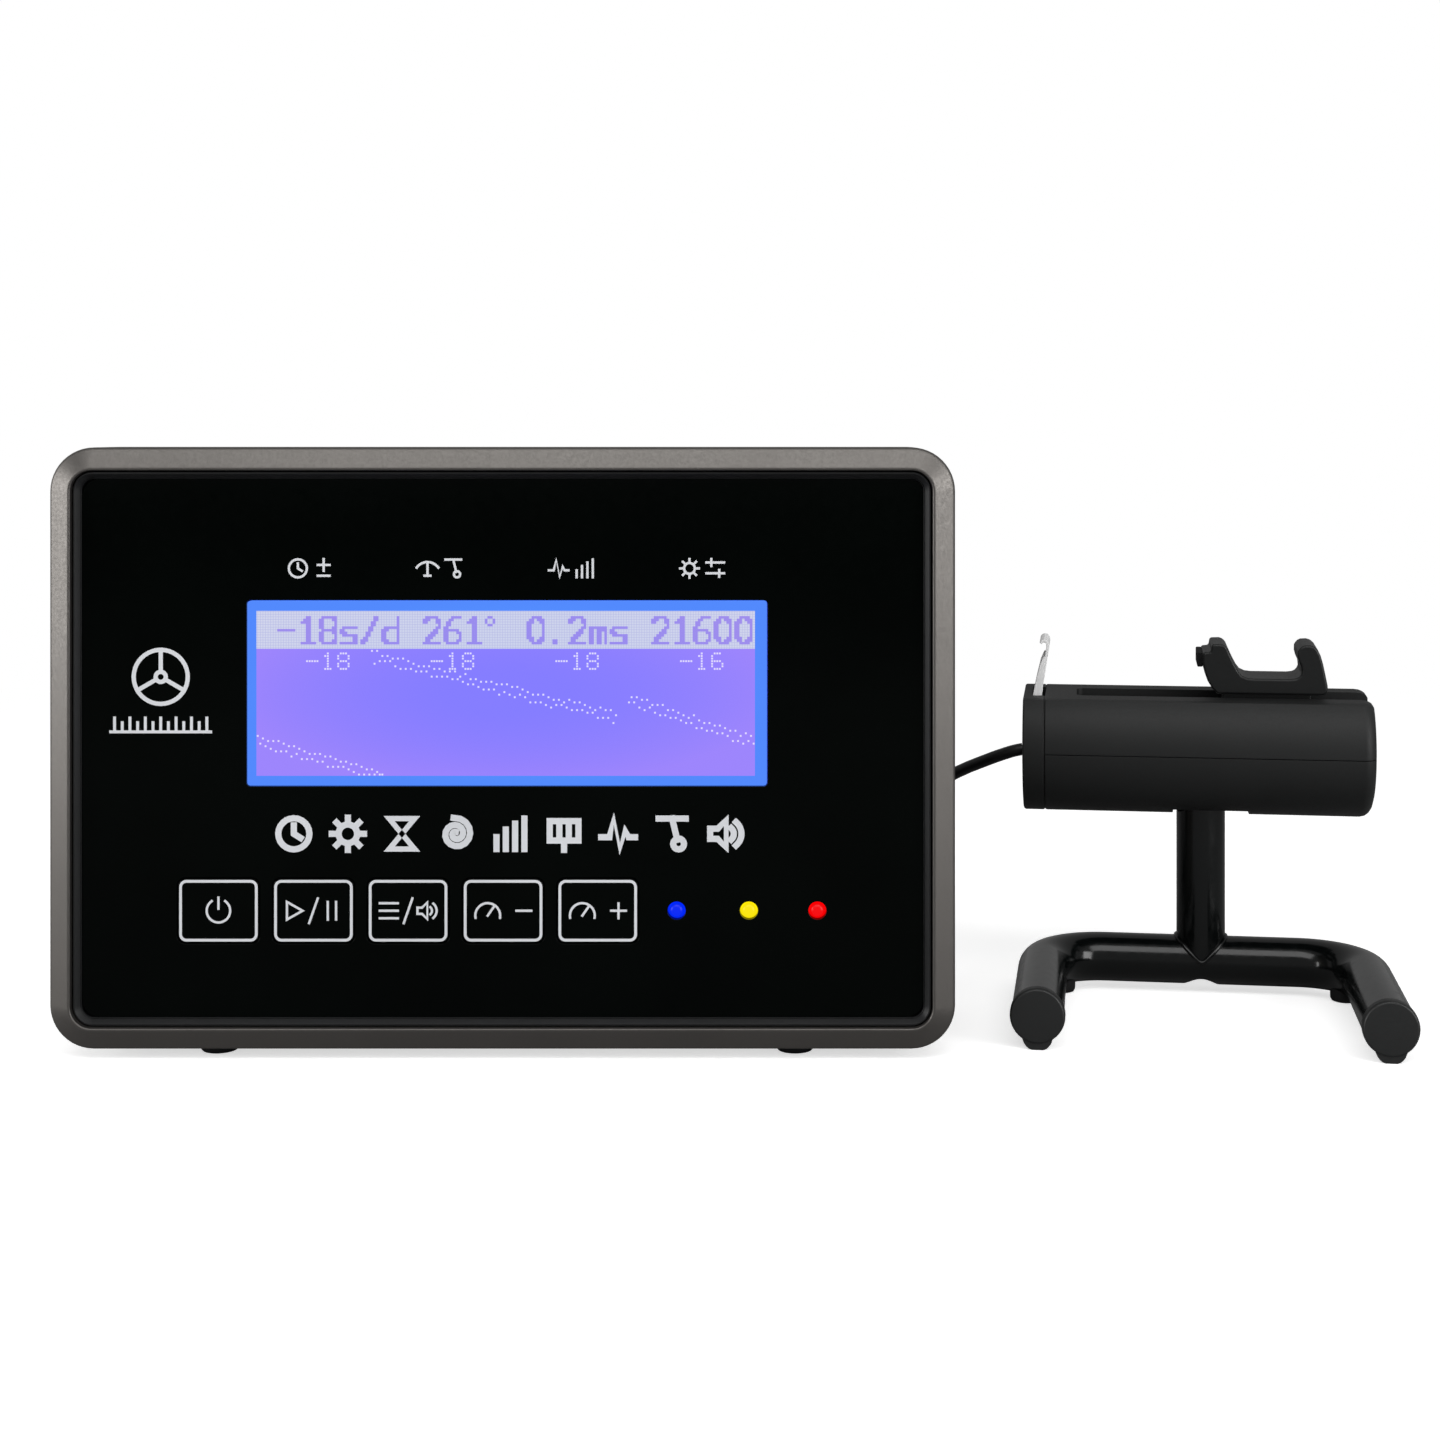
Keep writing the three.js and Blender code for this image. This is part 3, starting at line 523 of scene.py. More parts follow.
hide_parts("microphone_cable", "microphone_cable_tail", "cable_coil")

plug_profile = [
    (0, 48.5), (0.7, 48.6), (1.3, 49.1), (1.75, 50), (1.75, 51.2), (1.45, 51.5), (1.45, 52),
    (1.75, 52.3), (1.75, 62.7), (3.9, 62.7), (4.3, 63), (4.4, 63.6), (4.4, 79.6), (4.2, 80.4),
    (3.3, 81.2), (3.2, 82), (2.9, 84), (3.1, 84.4), (2.75, 86.4), (2.95, 86.8), (2.6, 88.8),
    (2.75, 89.2), (2.4, 91.4), (2.2, 92.5), (0, 92.5),
]
plug = make(
    "lead_plug", moved(spun(plug_profile), *JACK), ON_MONITOR, "base",
    TRIM, "trim_black", ["cable_plug"], sharp=30,
)

# The tie: a band round the coil's bundle, flat where it lies on the bench.
strap = []
for grow in (0.0, 1.0):
    outline = round_rect(2 * (5.8 + grow), 7.6 + 1.2 * grow, 1.6 + grow, 0, 3.9, 6)
    lowest = 0.05 if grow else 0.3
    strap.append([(x, max(z, lowest)) for x, z in outline])
inner, outer = strap
rings = []
for x, outline in ((-3.5, inner), (-3.5, outer), (3.5, outer), (3.5, inner)):
    rings.append([(x, y, z) for y, z in outline])
tie = make(
    "lead_tie", moved(loft(rings, True), -45, 72, 0), ON_TABLE, "base",
    RUBBER, "foot_rubber", ["cable_tie"], sharp=40,
)

# ---------------------------------------------------------------- monitor
frame_profile = [
    (0, 24), (0, 3.1), (0.06, 2.8), (0.22, 2.52), (0.48, 2.28), (0.85, 2.06), (5.0, 0.2),
    (5.35, 0.07), (5.65, 0.06), (5.88, 0.2), (6.0, 0.5), (6.0, 23.9),
]
make(
    "bezel", loft(frame_rings(frame_profile), True), ON_MONITOR, "base",
    FRAME_PAINT, "frame_paint", ["front_frame"], sharp=40,
)
trim_profile = [
    (6.3, 7.6), (6.3, 1.7), (6.45, 1.35), (6.8, 1.3), (7.3, 1.9), (7.75, 2.55), (7.9, 2.75),
    (8.05, 2.62), (8.2, 2.8), (8.2, 2.95), (8.25, 5.9), (9.5, 5.9), (9.5, 7.6),
]
make(
    "bezel_seal", loft(frame_rings(trim_profile), True), ON_MONITOR, "base",
    TRIM, "trim_black", ["panel_trim"], sharp=40,
)

openings = [round_rect(135.5, 48.4, 1, DISPLAY_X, DISPLAY_Z, 6)]
openings += [round_rect(21.6, 17.2, 2.2, x, KEY_Z, 6) for x in KEYS.values()]
openings += [arc(x, KEY_Z, 2.35, 0, 345, 23) for x in LAMP_X.values()]
make(
    "face_plate", plate_mesh(round_rect(218.7, 139.8, 4.2), openings, 3.0, 5.5, 0.2), ON_MONITOR, "base",
    PANEL, "panel_gloss", ["front_panel"], sharp=60,
)


def spokes(inner, outer, angles):
    """Short strokes from one radius to another."""
    lines = []
    for angle in angles:
        a = math.radians(angle)
        lines.append([(r * math.cos(a), r * math.sin(a)) for r in (inner, outer)])
    return lines


# Marks. All of them are plain pictograms, drawn in a box from -1 to 1.
CLOCK = [arc(0, 0, 0.92, 0, 360, 24), [(0, 0.5), (0, 0), (0.4, -0.25)]]
GEAR = [arc(0, 0, 0.55, 0, 360, 24), *spokes(0.72, 0.95, range(0, 360, 45))]
PULSE = [[(-1, -0.2), (-0.5, -0.2), (-0.25, 0.9), (0.1, -0.9), (0.4, 0.2), (0.6, -0.2), (1, -0.2)]]
spiral = [(t / 34 * 0.95, t * 0.42) for t in range(4, 35)]
HAIRSPRING = [[(r * math.cos(a), r * math.sin(a)) for r, a in spiral]]
BARS = [[(x, -0.9), (x, top)] for x, top in ((-0.8, -0.2), (-0.25, 0.25), (0.3, 0.6), (0.85, 0.9))]
CROWN = [
    [(-0.85, 0.75), (-0.85, -0.4), (0.85, -0.4), (0.85, 0.75), (-0.85, 0.75)],
    [(-0.28, 0.7), (-0.28, -0.4)],
    [(0.28, 0.7), (0.28, -0.4)],
    [(0, -0.4), (0, -0.95)],
]
PENDULUM = [[(-0.8, 0.9), (0.8, 0.9)], [(0, 0.9), (0.3, -0.35)], arc(0.38, -0.6, 0.32, 0, 360, 16)]
HOURGLASS = [[(-0.75, 0.9), (0.75, 0.9), (-0.75, -0.9), (0.75, -0.9), (-0.75, 0.9)]]
SPEAKER = [
    [(-0.95, 0.3), (-0.95, -0.3), (-0.5, -0.3), (0, -0.8), (0, 0.8), (-0.5, 0.3), (-0.95, 0.3)],
    arc(0, 0, 0.45, -50, 50, 8),
    arc(0, 0, 0.9, -50, 50, 12),
]
SWING = [arc(0, -0.7, 1.35, 35, 145, 14), [(0, -0.7), (0, 0.65)], [(-0.3, -0.75), (0.3, -0.75)]]
SLIDERS = [
    [(-0.9, 0.6), (0.9, 0.6)],
    [(-0.9, -0.5), (0.9, -0.5)],
    [(-0.4, 0.95), (-0.4, 0.25)],
    [(0.4, -0.15), (0.4, -0.85)],
]
PLUS_MINUS = [[(-0.6, 0.35), (0.6, 0.35)], [(0, 0.95), (0, -0.25)], [(-0.6, -0.75), (0.6, -0.75)]]
POWER = [arc(0, 0, 0.85, 125, 415, 24), [(0, 0.95), (0, 0.15)]]
PLAY = [[(-0.7, 0.85), (0.8, 0), (-0.7, -0.85), (-0.7, 0.85)]]
PAUSE = [[(-0.4, 0.85), (-0.4, -0.85)], [(0.4, 0.85), (0.4, -0.85)]]
MENU = [[(-0.9, z), (0.9, z)] for z in (0.75, 0, -0.75)]
DIAL = [arc(0, -0.35, 0.9, -10, 190, 18), [(0, -0.35), (0.42, 0.25)]]
MINUS = [[(-0.8, 0), (0.8, 0)]]
PLUS = [*MINUS, [(0, 0.8), (0, -0.8)]]
SLASH = [[(-0.35, -1), (0.35, 1)]]
BALANCE = [arc(0, 0, 0.95, 0, 360, 40), arc(0, 0, 0.18, 0, 360, 14), *spokes(0.18, 0.95, (90, 210, 330))]
SCALE = [[(-13, 0), (13, 0)], *[[(t, 0.4), (t, 2.4 if t % 4 else 3.6)] for t in range(-12, 13, 2)]]

HEADINGS = {-49.9: (CLOCK, PLUS_MINUS), -16.2: (SWING, PENDULUM), 17.9: (PULSE, BARS), 51.9: (GEAR, SLIDERS)}
marks = []
for x, pair in HEADINGS.items():
    for side, glyph in zip((-1, 1), pair):
        marks += printed(glyph, 0.6, x + side * 3.35, 46.7, 2.55)
title = (CLOCK, GEAR, HOURGLASS, HAIRSPRING, BARS, CROWN, PULSE, PENDULUM, SPEAKER)
for i, glyph in enumerate(title):
    marks += printed(glyph, 1.6, 14.05 * i - 54.3, -22.3, 4.4)
marks += printed(BALANCE, 1.1, -88.9, 18.5, 7.4)
marks += printed(SCALE, 0.75, -88.9, 4.2)
make("face_marks", joined(*marks), ON_MONITOR, "base", PRINT, "panel_gloss", sharp=50)

KEY_MARKS = {
    "key_power": [(POWER, 0, 3.6)],
    "key_start_pause": [(PLAY, -5.0, 2.7), (SLASH, 0, 3.2), (PAUSE, 4.8, 2.7)],
    "key_menu_sound": [(MENU, -5.0, 2.6), (SLASH, 0, 3.2), (SPEAKER, 5.0, 2.7)],
    "key_value_minus": [(DIAL, -4.0, 3.6), (MINUS, 5.4, 2.4)],
    "key_value_plus": [(DIAL, -4.0, 3.6), (PLUS, 5.4, 2.4)],
}
for name, x in KEYS.items():
    face = plate_mesh(round_rect(21.1, 16.7, 2, x, KEY_Z), [], 3.0, 6.3, 0.3)
    flange = slab(round_rect(23.5, 19, 2.5, x, KEY_Z, 4), 5.8, 6.8)
    plunger = rod(2.5, 6.5, 10, "y", (x, 0, KEY_Z), 24)
    cap = joined(face, flange, plunger)
    make(name + "_cap", cap, ON_MONITOR, name, PANEL, "panel_gloss", [name], sharp=50)
    outline = round_rect(19.7, 15.3, 1.5, 0, 0, 5)
    shapes = printed([[*outline, outline[0]]], 0.72, x, KEY_Z)
    for glyph, dx, scale in KEY_MARKS[name]:
        shapes += printed(glyph, 0.6, x + dx, KEY_Z, scale)
    make(name + "_mark", joined(*shapes), ON_MONITOR, name, PRINT, "panel_gloss", sharp=50)

lens_profile = [
    (0, 2.62), (0.75, 2.68), (1.3, 2.85), (1.7, 3.2), (1.9, 3.7), (1.95, 6), (2.9, 6), (2.9, 7.2),
    (2.1, 7.2), (2.1, 11.6), (0, 11.6),
]
lamps = {"led_blue": LAMP_BLUE, "led_yellow": LAMP_YELLOW, "led_red": LAMP_RED}
for name, material in lamps.items():
    lens = moved(spun(lens_profile, 32), LAMP_X[name], 0, KEY_Z)
    slot = name.replace("led", "lamp")
    make(name + "_lens", lens, ON_MONITOR, "base", material, slot, [name], sharp=50)

# Display: rows and columns of dots behind the panel's opening.
COLUMNS, ROWS = 192, 64
PITCH_X, PITCH = 0.675, 0.67
LEFT, TOP = DISPLAY_X - 96.5 * PITCH_X, DISPLAY_Z + 32 * PITCH
mid = (MONITOR.x + DISPLAY_X, MONITOR.z + DISPLAY_Z)
BORDER = glowing("display_border", rgb(84, 146, 255), rgb(80, 136, 252), mid, (68, 25))
FIELD = glowing("display_field", rgb(132, 124, 255), rgb(156, 132, 252), mid, (70, 24))
BAND = glowing(
    "display_band", rgb(204, 211, 236), rgb(212, 214, 236), mid, (90, 40), (PITCH, rgb(182, 186, 228)),
)
FIGURES = glowing("display_figures", rgb(150, 138, 238), rgb(158, 140, 236), mid, (80, 30))
DOTS = glowing("display_dots", rgb(224, 220, 255), rgb(230, 220, 252), mid, (80, 30))
glow = plate_mesh(round_rect(135.1, 48.0, 0.8, DISPLAY_X, DISPLAY_Z, 4), [], 3.1, 5.3, 0.15)
make(
    "display_backlight", glow, ON_MONITOR, "base",
    BORDER, "clear_window", ["display_window"], sharp=50,
)
for name, front, back, rows, material in (
    ("display_area", 3.07, 3.2, ROWS, FIELD),
    ("display_header", 3.05, 3.15, 14.7, BAND),
):
    sheet = block(LEFT, LEFT + COLUMNS * PITCH_X, front, back, TOP - rows * PITCH, TOP)
    make(name, sheet, ON_MONITOR, "base", material, "display_blue")

# Strokes of the large figures, on dots counted from the top left, and of the small ones.
FIGURE = {
    "-": [[(1, 8), (6, 8)]],
    "1": [[(2, 5), (4, 3), (4, 13)], [(2, 13), (6, 13)]],
    "2": [[(1, 5), (2, 3), (5, 3), (6.5, 5), (6.5, 6.5), (1, 13), (6.5, 13)]],
    "6": [
        [(6, 3), (4, 3), (2, 5), (1, 8), (1, 11.5), (2, 13), (5, 13), (6.5, 11.5), (6.5, 9.5), (5, 8)],
        [(5, 8), (1.5, 8)],
    ],
    "8": [
        [(2, 3), (5.5, 3), (6.5, 4.5), (6.5, 6.5), (5.5, 8), (2, 8), (1, 6.5), (1, 4.5), (2, 3)],
        [(2, 8), (1, 9.5), (1, 11.5), (2, 13), (5.5, 13), (6.5, 11.5), (6.5, 9.5), (5.5, 8)],
    ],
    "0": [[(3, 3), (4.5, 3), (6.5, 5.5), (6.5, 10.5), (4.5, 13), (3, 13), (1, 10.5), (1, 5.5), (3, 3)]],
    "s": [[(6.5, 7), (2, 7), (1, 8), (2, 10), (5.5, 10), (6.5, 11.5), (5.5, 13), (1, 13)]],
    "/": [[(1, 13), (6.5, 3)]],
    "d": [[(6.5, 3), (6.5, 13), (3, 13), (1, 11.5), (1, 8.5), (3, 7), (6.5, 7)]],
    "m": [[(1, 13), (1, 7), (3, 7), (3.8, 8), (3.8, 13)], [(3.8, 8), (4.8, 7), (6.5, 7.5), (6.5, 13)]],
    "°": [[(1.5, 3), (2.5, 3)], [(0.5, 4), (0.5, 5)], [(3.5, 4), (3.5, 5)], [(1.5, 6), (2.5, 6)]],
    ".": [[(3, 12.5), (3.5, 13)]],
}
SMALL = {
    "-": [[(0, 3), (4, 3)]],
    "1": [[(1, 1), (2, 0), (2, 6)], [(1, 6), (3, 6)]],
    "6": [[(1, 0), (3, 0)], [(0, 1), (0, 5)], [(1, 3), (3, 3)], [(4, 4), (4, 5)], [(1, 6), (3, 6)]],
    "8": [
        [(1, 0), (3, 0)], [(0, 1), (0, 2)], [(4, 1), (4, 2)], [(1, 3), (3, 3)],
        [(0, 4), (0, 5)], [(4, 4), (4, 5)], [(1, 6), (3, 6)],
    ],
}


def near(px, py, a, b):
    """How far a point is from the stroke between a and b."""
    ax, ay, bx, by = *a, *b
    long = (bx - ax) ** 2 + (by - ay) ** 2
    t = max(0.0, min(1.0, ((px - ax) * (bx - ax) + (py - ay) * (by - ay)) / long)) if long else 0.0
    return math.hypot(px - ax - t * (bx - ax), py - ay - t * (by - ay))


def beside(a, b, count):
    """The dots from 0 to count that lie within two of the span between a and b."""
    return range(max(0, int(min(a, b)) - 2), min(count, int(max(a, b)) + 3))


def written(text, x0, y0, figures, wide, reach):
    """The dots that a line of text lights."""
    lit = set()
    for i, char in enumerate(text):
        for stroke in figures.get(char, []):
            points = [(x0 + i * wide + x, y0 + y) for x, y in stroke]
            for a, b in zip(points, points[1:]):
                for cx in beside(a[0], b[0], COLUMNS):
                    for cy in beside(a[1], b[1], ROWS):
                        if near(cx, cy, a, b) <= reach:
                            lit.add((cx, cy))
    return lit


def dot_shapes(lit, front, size=0.47):
    shapes = []
    for cx, cy in sorted(lit):
        x, z = LEFT + (cx + 0.5) * PITCH_X, TOP - (cy + 0.5) * PITCH
        shapes.append(block(x - size / 2, x + size / 2, front, front + 0.04, z - size / 2, z + size / 2))
    return joined(*shapes)


readings = written(" -18s/d 261  0.2ms 21600", -0.5, -1, FIGURE, 8, 0.95)
readings |= written("°", 87.5, -1, FIGURE, 8, 0.45)
make(
    "display_readings", dot_shapes(readings, 3.03, 0.67), ON_MONITOR, "base",
    FIGURES, "display_blue", sharp=60,
)
small = set()
for x, text in ((19, "-18"), (67, "-18"), (115, "-18"), (163, "-16")):
    small |= written(text, x, 16, SMALL, 6, 0.45)
rng = random.Random(7)
traces = (((0, 48.5), (48, 62.5)), ((44, 15.5), (138, 39.5)), ((143, 32.5), (191, 48.5)))
for (x0, y0), (x1, y1) in traces:
    for x in range(x0, x1 + 1):
        # Each trace is two lines of dots, three rows apart, that take turns.
        y = y0 + (y1 - y0) * (x - x0) / (x1 - x0)
        scatter, drop = (0.9, 3) if x % 2 else (0.7, 0)
        small.add((x, min(ROWS - 1, round(y + drop + rng.uniform(-scatter, scatter)))))
make("display_trace", dot_shapes(small, 3.04), ON_MONITOR, "base", DOTS, "display_blue", sharp=60)

# Rear case, with holes for the sockets, the screws and the buzzer's sound.
case_profile = [(2, 24.3), (2, 57.8), (2.15, 58.7), (2.6, 59.5), (3.3, 59.9), (4.2, 60)]
case_tools = [rod(4.3, 50, 62, "y", JACK), rod(5.6, 50, 62, "y", INLET)]
for sx in (-1, 1):
    for sz in (-1, 1):
        case_tools.append(rod(3.3, 37.3, 62, "y", (sx * 107.6, 0, sz * 68.15), 32))
for i in range(6):
    case_tools.append(slab(round_rect(60, 2.6, 1.25, 0, 22 + 7 * i, 6), 54, 62))
case = boolean(loft(frame_rings(case_profile, 10)), case_tools, ON_MONITOR)
finish_piece("rear_shell", case, "base", FRAME_PAINT, "frame_paint", ["rear_case"], sharp=30)

jack_profile = [
    (0, 50), (2.15, 50), (2.15, 62.3), (2.3, 62.4), (3.8, 62.4), (4, 62.2), (4, 61.8),
    (5.6, 61.8), (5.9, 61.5), (5.9, 60.3), (4, 60.3), (4, 49), (0, 49),
]
make(
    "jack_socket", moved(spun(jack_profile), *JACK), ON_MONITOR, "base",
    SCREW, "screw_steel", ["microphone_jack"],
)
inlet_profile = [
    (0, 60.4), (0.8, 60.3), (1, 60), (1, 50), (3.2, 50), (3.2, 61.5), (3.5, 61.8),
    (6.5, 61.8), (6.8, 61.5), (6.8, 60.3), (5.3, 60.3), (5.3, 48), (0, 48),
]
make(
    "inlet_socket", moved(spun(inlet_profile), *INLET), ON_MONITOR, "base",
    TRIM, "trim_black", ["power_inlet"],
)
feet = ((-1, 13, FRAME_H), (1, 13, FRAME_H), (-1, 50, CASE_H), (1, 50, CASE_H))
for i, (side, y, height) in enumerate(feet, 1):
    top = MONITOR.z - height / 2 - 0.2
    foot_profile = [(0, 0), (3.9, 0), (4.5, 0.15), (4.9, 0.6), (5, 1.2), (5, top)]
    foot_profile += [(2, top), (2, top + 3), (0, top + 3)]
    place = Matrix.Translation((MONITOR.x + side * 76, MONITOR.y + y, 0))
    foot = spun(foot_profile, 40, "z")
    make(f"bumper_{i}", foot, place, "base", RUBBER, "foot_rubber", [f"foot_{i}"], sharp=40)

# ---------------------------------------------------------------- stand
# The base tube's middle line, from the left leg round both bends to the right leg.
centre_line = [(-LEG_X, LEG_Y), (-LEG_X, -BEND - 8)]
headings = [90, 90]
for side, start in ((-1, 180), (1, 90)):
    for i in range(17):
        a = start - 90 * i / 16
        rad = math.radians(a)
        centre_line.append((side * (LEG_X - BEND) + BEND * math.cos(rad), -BEND + BEND * math.sin(rad)))
        headings.append(a - 90)
centre_line += [(LEG_X, -BEND - 8), (LEG_X, LEG_Y)]
headings += [-90, -90]


def sweep(radius, n=48):
    """Rings of one radius along the base tube."""
    rings = []
    for (x, y), heading in zip(centre_line, headings):
        side = Vector((-math.sin(math.radians(heading)), math.cos(math.radians(heading)), 0))
        ring = []
        for i in range(n):
            a = 2 * math.pi * i / n
            p = Vector((x, y, TUBE_Z)) + side * radius * math.cos(a) + Vector((0, 0, radius * math.sin(a)))
            ring.append(tuple(p))
        rings.append(ring)
    return rings


base_shape = loft(sweep(TUBE_R) + sweep(BORE)[::-1], True)
base_mesh = boolean(base_shape, [rod(5.3, -1, TUBE_Z, "z", (0, 0, 0))], ON_STAND)
finish_piece("base_bend", base_mesh, "base", TUBE, "tube_paint", ["base_tube"], sharp=30)


def saddle(y, gap):
    """The height of the base tube's upper side, plus a gap, at a distance from its middle."""
    return TUBE_Z + math.sqrt(max(0.0, (TUBE_R + gap) ** 2 - y * y))


# The post's lower end follows the base tube, and its upper end is flat.
post_rings = []
for radius, top in ((TUBE_R, None), (TUBE_R, POST_TOP), (BORE, POST_TOP), (BORE, None)):
    post_rings.append([(x, y, top or saddle(y, 0.05)) for x, y in arc(0, 0, radius, 0, 360, 64)[:-1]])
make(
    "post", loft(post_rings, True), ON_STAND, "base",
    TUBE, "tube_paint", ["post_tube"], sharp=40,
)

# A thin seam of weld where the post meets the base tube.
SEAM_R = 0.75
weld = []
for i in range(96):
    a = 2 * math.pi * i / 96
    x, y = TUBE_R * math.cos(a), TUBE_R * math.sin(a)
    z = saddle(y, 0.02)
    out = Vector((math.cos(a), math.sin(a), 0))
    centre = Vector((x, y, z)) + Vector((0, y, z - TUBE_Z)).normalized() * 0.1
    ring = []
    for across, up in arc(0, 0, SEAM_R, 0, 360, 10)[:-1]:
        ring.append(tuple(centre + out * across + Vector((0, 0, up))))
    weld.append(ring)
make("post_seam", loft(weld, True), ON_STAND, "base", TUBE, "tube_paint", sharp=60)

screw_profile = [
    (0, 10.4), (1.8, 10.4), (1.8, 9.3), (3.7, 9.2), (4, 9.6), (4, 12.2), (2, 12.2), (2, 31), (0, 31),
]
make(
    "post_bolt", spun(screw_profile, 32, "z"), ON_STAND, "base",
    SCREW, "screw_steel", ["post_screw"],
)

leg_end_profile = [
    (0, -70.35), (6.6, -70.35), (7.0, -70.2), (7.25, -69.8), (7.35, -69.2), (7.35, -67.2),
    (5.3, -67.2), (5.3, -59), (0, -59),
]
foot_outline = [
    (4.15, 5), (-4.15, 5), (-4.15, 4), (-4.0, 2.9), (-3.6, 1.8), (-3.0, 0.95), (-2.3, 0.35),
    (-1.5, 0.05), (1.5, 0.05), (2.3, 0.35), (3.0, 0.95), (3.6, 1.8), (4.0, 2.9), (4.15, 4),
]
pad_profile = [(0, 0), (3.1, 0), (3.8, 0.25), (4.15, 0.9), (4.2, 1.6), (4.2, 7), (0, 7)]
for name, side in (("left", -1), ("right", 1)):
    leg = (side * LEG_X, 0, TUBE_Z)
    make(
        f"leg_plug_{name}", moved(spun(leg_end_profile), *leg), ON_STAND, "base",
        CAP, "cap_plastic", [f"leg_cap_{name}"], sharp=40,
    )
    foot = slab([(side * LEG_X + x, z) for x, z in foot_outline], -69.9, -57)
    lug = boolean(foot, [rod(7.2, -67.15, -50, "y", leg)], ON_STAND)
    finish_piece(f"leg_foot_{name}", lug, "base", CAP, "cap_plastic", sharp=40, bevel=0.35)
    pad = moved(spun(pad_profile, 32, "z"), side * 40.5, -6.5, 0)
    pad = boolean(pad, [loft(sweep(TUBE_R + 0.05))], ON_STAND)
    finish_piece(f"pad_{name}", pad, "base", RUBBER, "foot_rubber", [f"rear_pad_{name}"], sharp=40)

# ---------------------------------------------------------------- head
def head_section(radius, low, high):
    """The head's outline in y and z between two heights."""
    points = []
    for i in range(72):
        a = 2 * math.pi * (i + 0.5) / 72
        y, z = radius * math.cos(a), HEAD_Z + radius * math.sin(a)
        points.append((y, min(max(z, low), high)))
    return points


def ring_x(section, x):
    return [(x, y, z) for y, z in section]


# Along the head: how far its outline draws in at each place. Its right-hand end is rounded over.
HEAD_PROFILE = [
    (X0, 0.25), (X0 + 0.25, 0), (X1 - 3.4, 0), (X1 - 2.1, 0.28), (X1 - 1.1, 1.0),
    (X1 - 0.4, 2.0), (X1, 3.4),
]


def head_loft(low, high):
    rings = []
    for x, inset in HEAD_PROFILE:
        section = head_section(HEAD_R - inset, low, min(high, FLAT - inset * 0.45))
        rings.append(ring_x(section, x))
    return loft(rings)


def post_gap():
    """The opening that lets the head tilt one way past the post."""
    outline = [(-9.6, 9.6), (-9.6, -30), *arc(0, 0, 30, -90, 0, 9), (30, 9.6)]
    return loft([[(x, y, TILT_Z + z) for y, z in outline] for x in (-8.2, 13.7)])


inside = head_section(HEAD_R - HEAD_WALL, 40, FLAT - HEAD_WALL)
cavity = loft([ring_x(inside, X0 - 2), ring_x(inside, X1 - 3)])
# The clamp's slot: an outline laid flat and cut down through the head's top.
verts, faces = slab(round_rect(99, 12, 2.0, 13.5, 0, 4), -3, 3)
slot_cut = ([(x, z, FLAT + y) for x, y, z in verts], faces)
upper = boolean(head_loft(HEAD_Z + 0.12, FLAT), [cavity, post_gap(), slot_cut], ON_HEAD)
finish_piece(
    "head_top", upper, "head", SHELL, "shell_plastic", ["upper_shell"],
    sharp=32, bevel=0.35, segments=2,
)
wells = [rod(2.9, 50, 64, "z", (x, 13, 0), 32) for x in (-26, 34)]
lower = boolean(head_loft(40, HEAD_Z - 0.12), [cavity, post_gap(), *wells], ON_HEAD)
finish_piece(
    "head_bottom", lower, "head", SHELL, "shell_plastic", ["lower_shell"],
    sharp=32, bevel=0.3, segments=2,
)

end_profile = [
    (CAP_X, 0.6), (CAP_X + 0.2, 0.2), (CAP_X + 0.6, 0.0), (X0 - 0.45, 0.0), (X0 - 0.3, 0.25),
    (X0 - 0.06, 0.3),
]
end_rings = [ring_x(head_section(HEAD_R - inset, 40, FLAT - inset * 0.6), x) for x, inset in end_profile]
end_tools = [
    rod(3.5, CAP_X - 2, CAP_X + 8, "x", (0, 0, TILT_Z)),
    block(-48.9, -44, -7.3, 7.3, 78, 90),
    rod(14.5, CAP_X + 3.2, CAP_X + 8, "x", (0, 0, 70)),
]
finish_piece(
    "head_end", boolean(loft(end_rings), end_tools, ON_HEAD), "head",
    SHELL, "shell_plastic", ["left_end_cap"], sharp=32, bevel=0.25, segments=2,
)

grommet_profile = [
    (1.95, CAP_X - 0.1), (3.2, CAP_X - 0.15), (3.3, CAP_X + 0.1), (3.3, CAP_X + 3.5),
    (4.6, CAP_X + 3.5), (4.6, CAP_X + 5.2), (1.95, CAP_X + 5.2), (1.95, CAP_X - 0.1),
]
make(
    "entry_grommet", moved(spun(grommet_profile, 32, "x"), 0, 0, TILT_Z), ON_HEAD, "head",
    RUBBER, "foot_rubber", ["cable_grommet"], sharp=40,
)


def bent_plate(line, half):
    """A strip of even thickness along a line in x and z."""
    left, right = [], []
    for i, (x, z) in enumerate(line):
        a, b = Vector(line[max(i - 1, 0)]), Vector(line[min(i + 1, len(line) - 1)])
        along = (b - a).normalized()
        left.append((x - along.y * half, z + along.x * half))
        right.append((x + along.y * half, z - along.x * half))
    return slab(right + left[::-1], -6.5, 6.5)


blade_line = [
    (-46.6, 78), (-46.6, 82), (-46.6, 84.5), (-46.45, 86.8), (-45.9, 90.5), (-45.3, 94.5),
    (-44.8, 97.5), (-44.4, 100), (-44.25, 101.2), (-44.35, 102.0), (-44.8, 102.6),
    (-45.4, 102.75), (-46.0, 102.5), (-46.3, 102.0),
]
flange = [
    (-46.7, 80), (-46.55, 86.5), (-45.95, 90.5), (-45.3, 95), (-44.9, 98.2), (-45.6, 97.9),
    (-46.6, 95.6), (-47.6, 91.5), (-48.6, 86.8), (-48.6, 80),
]
blade = joined(bent_plate(blade_line, 0.42), slab(flange, -6.55, -5.7), slab(flange, 5.7, 6.55))
make(
    "contact_blade", blade, ON_HEAD, "head", STEEL_AND_PAINTED_SHEEN, "plate_steel", ["contact_plate"],
    sharp=32, bevel=0.12, segments=2,
)

